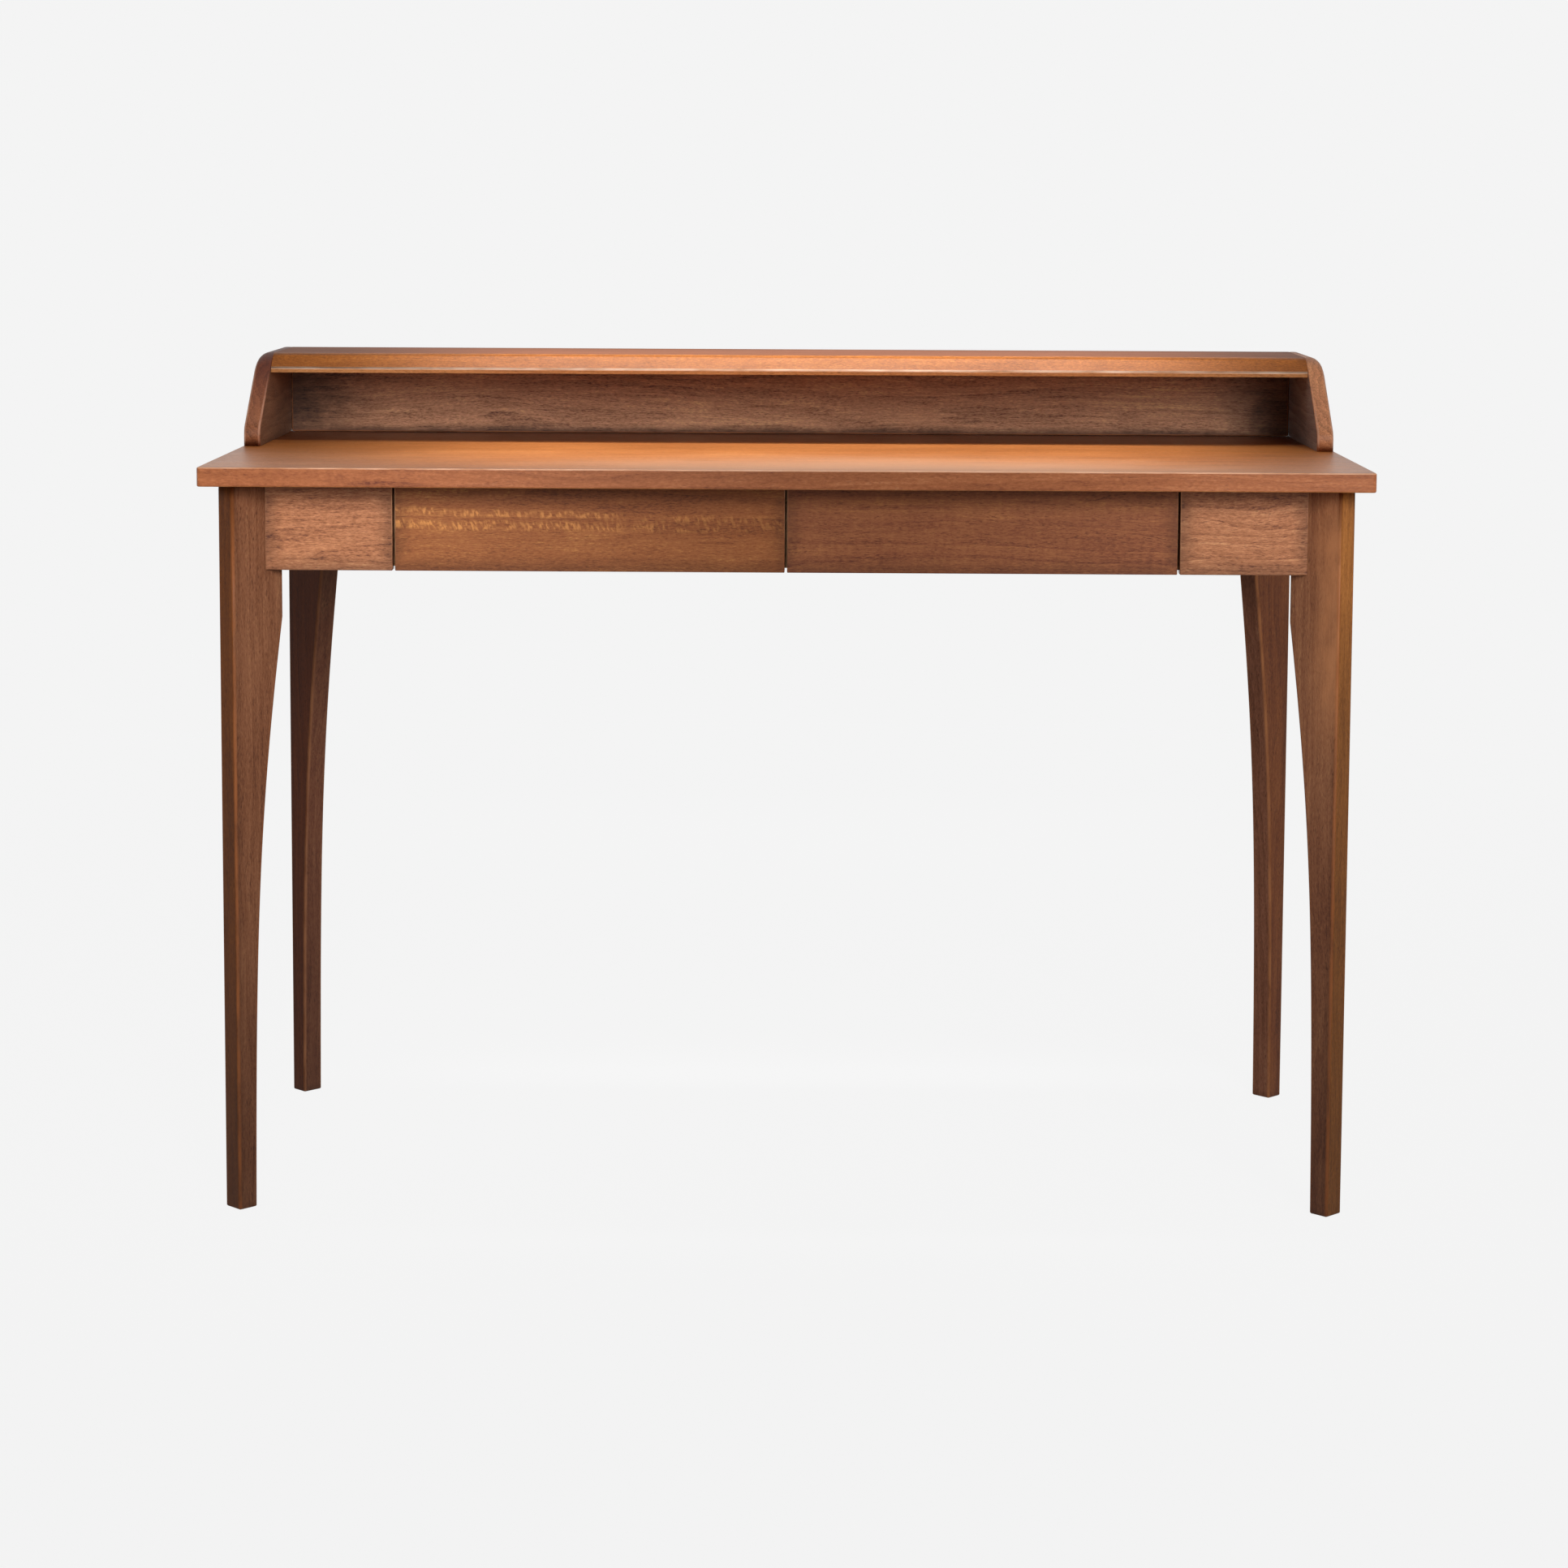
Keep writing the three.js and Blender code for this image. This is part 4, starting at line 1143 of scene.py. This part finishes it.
def skin(bm, rings):
    """Faces over a stack of rings of points, closed at both ends."""
    for below, above in zip(rings, rings[1:]):
        for i in range(len(below)):
            j = (i + 1) % len(below)
            bm.faces.new((below[i], below[j], above[j], above[i]))
    bm.faces.new(reversed(rings[0]))
    bm.faces.new(rings[-1])
    bmesh.ops.recalc_face_normals(bm, faces=bm.faces)


def leg_mesh(node):
    """One leg in the desk's frame, with the middle and the axes of its board."""
    low, high = box_mm(node)
    middle = (low + high) / 2
    inwards = Vector((-math.copysign(1, middle.x), -math.copysign(1, middle.y), 0)).normalized()
    across = Vector((-inwards.y, inwards.x, 0))
    outer = Vector((middle.x, middle.y, 0)) - inwards * LEG_WIDTH / 2
    bm = bmesh.new()
    layer = bm.verts.layers.float.new("arris")
    levels = [(z, width, 0.0) for z, width in taper()]
    levels = [(0, FOOT_WIDTH, FOOT_CHAMFER), (FOOT_CHAMFER, FOOT_WIDTH, 0.0)] + levels[1:]
    levels += [(high.z, LEG_WIDTH, 0.0)]
    rings = []
    for z, width, shrink in levels:
        ring = []
        for u, v, arris in leg_section(width, shrink):
            vertex = bm.verts.new(outer + inwards * u + across * v + Vector((0, 0, z)))
            vertex[layer] = arris
            ring.append(vertex)
        rings.append(ring)
    skin(bm, rings)
    return bm, middle, (Z, inwards, across)


print("a leg has", len(list(taper())) + 2, "cross-sections")

# %% [markdown]
# The four legs are equal, and their finishes differ, mostly by the light and shade painted into each. Each
# has a finish for its broad faces and one for its narrow outer edge, and on the rear legs the hollow inner
# side differs too.

# %% The legs
# corner: broad faces, outer edge, inner side, heart
LEGS = {
    "front_left": ("leg", "leg_edge", None, (30, 46)),
    "front_right": ("right_leg", "right_leg_edge", None, (-24, 60)),
    "rear_left": ("shaded_rear_leg", "leg_edge", "rear_leg", (40, -50)),
    "rear_right": ("right_rear_leg", "leg_edge", "right_rear_leg_taper", (-36, -44)),
}

for number, (corner, (broad, edge, inner, heart)) in enumerate(LEGS.items(), 11):
    node = "leg_" + corner
    bm, middle, axes = leg_mesh(node)
    half = (middle.z, LEG_WIDTH / 2, LEG_THICKNESS / 2)
    faces = [(finishes[edge], facing(-axes[1], 0.9))]
    if inner:
        faces.append((finishes[inner], facing(axes[1], 0.8)))
    broad = finishes[broad]
    finish_board(bm, node, "desk_frame", broad, axes, number, heart, middle, half, faces)
print("legs:", ", ".join(LEGS))

# %% [markdown]
# The aprons and the two fixed front panels meet the legs' broad faces, which stand at 45 degrees. So their
# ends are mitred: the inner face is shorter than the outer one by the board's own thickness.

# %% The aprons and the fixed front panels
APRON_ARRIS = 1.2


def mitred_outline(outer, inner, start, end, cut_start, cut_end):
    """Plan of an apron, (along, out) from its outer to its inner face, with one or both ends mitred."""
    depth = abs(outer - inner)
    return [
        (start, outer),
        (end, outer),
        (end - (depth if cut_end else 0), inner),
        (start + (depth if cut_start else 0), inner),
    ]


for name, side in SIDES:
    node = "front_panel_" + name
    low, high = box_mm(node)
    outline = mitred_outline(low.y, high.y, low.x, high.x, side < 0, side > 0)
    bm = ease(prism(outline, low.z, high.z, in_xy), APRON_ARRIS)
    unmark_lower_arrises(bm, low.z + 2 * APRON_ARRIS)
    heart = (-34, -70) if side < 0 else (44, -90)
    finish_board(bm, node, "desk_frame", finishes["panel"], ALONG_X, 21 + side, heart)

    node = "side_apron_" + name
    low, high = box_mm(node)
    outer, inner = (low.x, high.x) if side < 0 else (high.x, low.x)
    plan = [(v, u) for u, v in mitred_outline(outer, inner, low.y, high.y, True, True)]
    bm = ease(prism(plan, low.z, high.z, in_xy), APRON_ARRIS)
    finish_board(bm, node, "desk_frame", finishes["panel"], ALONG_Y, 25 + side, (20, 80))

low, high = box_mm("back_apron")
plan = mitred_outline(high.y, low.y, low.x, high.x, True, True)
bm = ease(prism(plan, low.z, high.z, in_xy), APRON_ARRIS)
finish_board(bm, "back_apron", "desk_frame", finishes["panel"], ALONG_X, 29, (-30, 90))
print("back apron:", round(high.x - low.x, 1), "mm long")

# %% [markdown]
# The drawer fronts are plain boards without handles. A 2.5 mm gap all round lets them run, and their pale
# arrises, partly sanded and partly a painted highlight, draw the fine lines beside the dark gaps.

# %% The drawer fronts
FRONT_ARRIS = 0.9
# drawer: finish, number, heart
DRAWERS = {
    "drawer_left": ("flecked_drawer", 32, (-26, -130)),
    "drawer_right": ("plain_drawer", 34, (22, -110)),
}

for drawer, (finish, number, heart) in DRAWERS.items():
    node = drawer + "_front"
    low, high = box_mm(node)
    bm = ease(prism(front_rectangle(low, high), low.y, high.y, in_xz), FRONT_ARRIS)
    unmark_lower_arrises(bm, low.z + 2 * FRONT_ARRIS)
    finish_board(bm, node, drawer, finishes[finish], ALONG_X, number, heart)
    print(node + ":", [round(size, 1) for size in high - low], "mm")

# %% [markdown]
# The hutch is the low shelf along the back. Its sides stand on the tabletop, rise a little, lean back and
# round over into the shelf. Their outline can be lowered and drawn in, which the next step makes use of.

# %% Outline of a hutch side
FOOT_RISE = 20
LEAN = 104
FOOT_ROUND = 8
CROWN_ROUND = 20
REAR_ROUND = 1.0

shelf_low, shelf_high = box_mm("hutch_shelf")
print("shelf: its underside is", round(shelf_low.z - top_high.z, 1), "mm above the tabletop")


def lean_back(low, high):
    """Height at which a side's front edge starts to lean, and how far back it leans per mm of rise."""
    start = low.z + FOOT_RISE
    return start, LEAN / (high.z - start)


def side_outline(low, high, drop, inset):
    """Outline of a side (back, up) with its top lowered by drop and its edges drawn in by inset."""
    lean_start, slope = lean_back(low, high)
    stretch = math.hypot(1, slope)
    bend = lean_start - inset * (stretch - 1) / slope
    top = high.z - max(drop, inset)
    front = low.y + inset
    lean_top = low.y + slope * (top - lean_start) + inset * stretch
    return soft_outline(
        [
            (high.y - inset, low.z),
            (high.y - inset, top, REAR_ROUND),
            (lean_top, top, CROWN_ROUND),
            (front, bend, FOOT_ROUND),
            (front, low.z),
        ],
        steps=10,
    )


# %% [markdown]
# A side's outer shoulder is rounded like a worn chair arm. Two roundings that run into each other defeat a
# bevel, so a side is laid up from thin slices across its thickness. Each slice is the same outline, lowered
# by the shoulder and drawn in by the arris at that depth.

# %% Lay up a hutch side
SHOULDER = 12
HUTCH_ARRIS = 2.6
ARRIS_TURNS = (0, 22.5, 45, 67.5, 90)
FLUSH_ARRIS = 0.5  # where the side meets the shelf
FLUSH_DROP = 4  # the side is flush with the shelf from a little below it
SLICES = 10


def round_over(depth, radius):
    """How far a quarter round of this radius has fallen at a depth past where it starts."""
    depth = max(0.0, min(depth, radius))
    return radius - math.sqrt(radius**2 - depth**2)


def side_mesh(node, side):
    """One side of the hutch, laid up in slices from its inner to its outer face."""
    low, high = box_mm(node)
    inner = low.x if side > 0 else high.x
    thickness = high.x - low.x
    quarter = [HUTCH_ARRIS * (1 - math.cos(math.radians(angle))) for angle in ARRIS_TURNS]
    broad = [HUTCH_ARRIS + (thickness - 2 * HUTCH_ARRIS) * i / SLICES for i in range(1, SLICES)]
    depths = quarter + broad + [thickness - depth for depth in reversed(quarter)]
    bm = bmesh.new()
    layer = bm.verts.layers.float.new("arris")
    rings = []
    for depth in depths:
        from_face = min(depth, thickness - depth)
        inset = round_over(HUTCH_ARRIS - from_face, HUTCH_ARRIS)
        drop = round_over(depth - (thickness - SHOULDER), SHOULDER)
        whole = side_outline(low, high, drop, 0.0)
        drawn = side_outline(low, high, drop, inset)
        ring = []
        for (y0, z0), (y1, z1) in zip(whole, drawn):
            flush = depth < thickness / 2 and z0 > shelf_low.z - FLUSH_DROP
            share = FLUSH_ARRIS / HUTCH_ARRIS if flush else 1.0
            vertex = bm.verts.new((inner + side * depth, y0 + (y1 - y0) * share, z0 + (z1 - z0) * share))
            vertex[layer] = 1.0 if 0 < inset < HUTCH_ARRIS and not flush else 0.0
            ring.append(vertex)
        rings.append(ring)
    skin(bm, rings)
    return bm


print("a side has", 2 * len(ARRIS_TURNS) + SLICES - 1, "slices")

# %% [markdown]
# The two sides are mirror images. Inside, each has its greyer finish. The right side's outer finish is
# painted lighter, for the light from the right.

# %% The hutch's sides
for name, side in SIDES:
    node = "hutch_side_" + name
    bm = side_mesh(node, side)
    # the right side's outer finish is painted lighter, for the light from the right
    outside = finishes["hutch" if side < 0 else "hutch_right"]
    inside = (finishes["hutch_inside" if side < 0 else "hutch_inside_right"], facing(-side * X, 0.99))
    finish_board(bm, node, "desk_frame", outside, ALONG_Y, 41 + side, (18, 60), faces=(inside,))
print("hutch sides: lean starts", FOOT_RISE, "mm above the tabletop")

# %% [markdown]
# The shelf spans the two sides, flush with them on top and along the slanted front. Below the slant is a
# narrow upright nose, whose two ends are rounded off.

# %% The hutch's shelf
NOSE = 5.4
NOSE_ARRIS = 1.2
SLANT_ROUND = 5.0
RIDGE_ROUND = 1.8
RIDGE_HIGHLIGHT_SHARE = 0.7  # of the ridge's rounding, how much gets the painted highlight
NEARLY = 0.1

side_low, side_high = box_mm("hutch_side_left")
lean_start, slope = lean_back(side_low, side_high)
slant_top = side_low.y + LEAN
ridge = shelf_low.z + NOSE
ridge_front = side_low.y + slope * (ridge - lean_start)
outline = soft_outline(
    [
        (shelf_high.y, shelf_low.z),
        (shelf_high.y, shelf_high.z, REAR_ROUND),
        (slant_top, shelf_high.z, SLANT_ROUND),
        (ridge_front, ridge, RIDGE_ROUND),
        (ridge_front, shelf_low.z),
    ],
    steps=6,
)
bm = prism(outline, shelf_low.x, shelf_high.x, in_yz)


def under_nose(edge):
    """The shelf's lower front edge and the two short edges at the ends of its nose."""
    return all(v.co.y < ridge_front + NEARLY and v.co.z < ridge + NEARLY for v in edge.verts)


ease(bm, NOSE_ARRIS, chosen=under_nose)
unmark_lower_arrises(bm, shelf_low.z + NOSE_ARRIS)
# The ridge's rounding is marked like an arris, for its painted highlight.
pale_amount = bm.verts.layers.float["arris"]
for vertex in bm.verts:
    if (vertex.co.yz - Vector((ridge_front, ridge))).length < RIDGE_ROUND * RIDGE_HIGHLIGHT_SHARE:
        vertex[pale_amount] = 1.0
faces = ((finishes["dulled_shelf_top"], facing(Z, 0.99)), (finishes["shelf_nose"], facing(-Y, 0.95)))
slant = finishes["shelf"]
finish_board(bm, "hutch_shelf", "desk_frame", slant, FLAT_X, 51, (-40, -150), faces=faces)
print("shelf:", round(shelf_high.x - shelf_low.x, 1), "mm between the sides")

# %% [markdown]
# The back closes the hutch. It stands on the tabletop between the sides, under the shelf. Painted shade
# darkens it towards its ends, where the sides shade it, and its lower edge is rubbed pale.

# %% The hutch's back
BACK_ARRIS = 2.2

low, high = box_mm("hutch_back")
bm = ease(prism(front_rectangle(low, high), low.y, high.y, in_xz), BACK_ARRIS)
finish_board(bm, "hutch_back", "desk_frame", finishes["hutch_back"], ALONG_X, 61, (-30, -90))
print("hutch back:", [round(size, 1) for size in high - low], "mm")

# %% [markdown]
# Inside the desk the wood is a cheaper, pale hardwood under one thin sealing coat, and the drawer bottoms are
# plywood. Fine streaks and broad bands along the grain are all that shows, under a dull, even sheen. These
# materials use the object's own coordinates, because the parts keep the frame's solids.

# %% Materials of the parts inside
INNER_STREAK = (60, 1.6)  # along the grain and across it
INNER_BAND = (260, 16)
INNER_TONES = (0.6, 1.4)
INNER_RELIEF = 0.08
INNER_PALE, INNER_DARK = "#c79a6b", "#93653e"
PLYWOOD_PALE, PLYWOOD_DARK = "#d3b083", "#ab8454"


def sealed_wood(name, pale, dark, grain, roughness):
    """Pale hardwood under a thin sealer. grain is the axis of its fibres: 0, 1 or 2."""
    material, tree = empty_material(name)
    place = add(tree, "TexCoord").outputs["Object"]
    place = add(tree, "VectorMath", {0: place, 1: (1 / MM, 1 / MM, 1 / MM)}, operation="MULTIPLY")
    streak, band = ([size[axis != grain] for axis in range(3)] for size in (INNER_STREAK, INNER_BAND))
    streaks = noise_at(tree, place, streak, Detail=3.0, Roughness=0.65)
    bands = noise_at(tree, place, band, Detail=2.0)
    tone = add(tree, "Math", {0: streaks, 1: bands}, operation="ADD")
    tone = add(tree, "MapRange", {"Value": tone, "From": INNER_TONES})
    colour = add(tree, "ValToRGB", {"Fac": tone}, stops=[(0.0, linear(dark)), (1.0, linear(pale))])
    bump = add(tree, "Bump", {"Height": streaks, "Distance": INNER_RELIEF * MM, "Strength": 1.0})
    looks = {"Base Color": colour, "Roughness": roughness, "Normal": bump, "IOR": LACQUER_IOR}
    surface = add(tree, "BsdfPrincipled", looks)
    add(tree, "OutputMaterial", {"Surface": surface})
    return material


inner_along_x = sealed_wood("sealed_rubberwood_across", INNER_PALE, INNER_DARK, 0, 0.55)
inner_along_y = sealed_wood("sealed_rubberwood_front_to_back", INNER_PALE, INNER_DARK, 1, 0.55)
inner_upright = sealed_wood("sealed_rubberwood_upright", INNER_PALE, INNER_DARK, 2, 0.55)
drawer_plywood = sealed_wood("sealed_plywood", PLYWOOD_PALE, PLYWOOD_DARK, 0, 0.5)
print("inside:", INNER_PALE, "hardwood and", PLYWOOD_PALE, "plywood")

# %% [markdown]
# The bolts and screws are zinc-plated steel: bright, slightly blue, and mottled where the plating has dulled.


# %% Material of the fasteners
ZINC_DULL, ZINC_BRIGHT = "#a9abac", "#cfd2d3"
ZINC_PATCHES = 180.0
ZINC_GLOSS = (0.22, 0.42)


def zinc_plated_steel():
    """Bright zinc plating with dull patches."""
    material, tree = empty_material("zinc_plated_steel")
    place = add(tree, "TexCoord").outputs["Object"]
    dull = add(tree, "TexNoise", {"Vector": place, "Scale": ZINC_PATCHES, "Detail": 3.0})
    stops = [(0.3, linear(ZINC_DULL)), (0.7, linear(ZINC_BRIGHT))]
    colour = add(tree, "ValToRGB", {"Fac": dull}, stops=stops)
    gloss = add(tree, "MapRange", {"Value": dull, "To": ZINC_GLOSS})
    surface = add(tree, "BsdfPrincipled", {"Base Color": colour, "Metallic": 1.0, "Roughness": gloss})
    add(tree, "OutputMaterial", {"Surface": surface})
    return material


plated_steel = zinc_plated_steel()
print("fasteners:", plated_steel.name)

# %% [markdown]
# The parts inside keep the frame's solids. Their grain runs along each part, as a joiner would cut it. A weld
# and a narrow bevel take the machine sharpness off the wooden ones.

# %% Dress the parts inside
SOFTEN = 0.7
WELD = 0.01
STEEL_PARTS = ("top_screw", "hanger_bolt")
ALONG_X_PARTS = ("front_rail", "drawer_left_back", "drawer_right_back", "drawer_stop", "shelf_dowel")
UPRIGHT_PARTS = ("hutch_dowel",)


def finish_inside(node):
    """The finish of a node that keeps the frame's own solid."""
    if node.endswith("_bottom"):
        return drawer_plywood
    if node.startswith(STEEL_PARTS):
        return plated_steel
    if node.startswith(ALONG_X_PARTS):
        return inner_along_x
    return inner_upright if node.startswith(UPRIGHT_PARTS) else inner_along_y


dressed = 0
for node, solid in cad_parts.items():
    if solid.hide_render:
        continue
    solid.data.materials.clear()
    solid.data.materials.append(finish_inside(node))
    if not node.startswith(STEEL_PARTS):
        weld = solid.modifiers.new("weld", "WELD")
        weld.merge_threshold = WELD * MM
        soften = solid.modifiers.new("soften", "BEVEL")
        soften.width = SOFTEN * MM
        soften.segments = 2
        soften.limit_method = "ANGLE"
        soften.harden_normals = False
    dressed += 1
print("parts inside:", dressed)
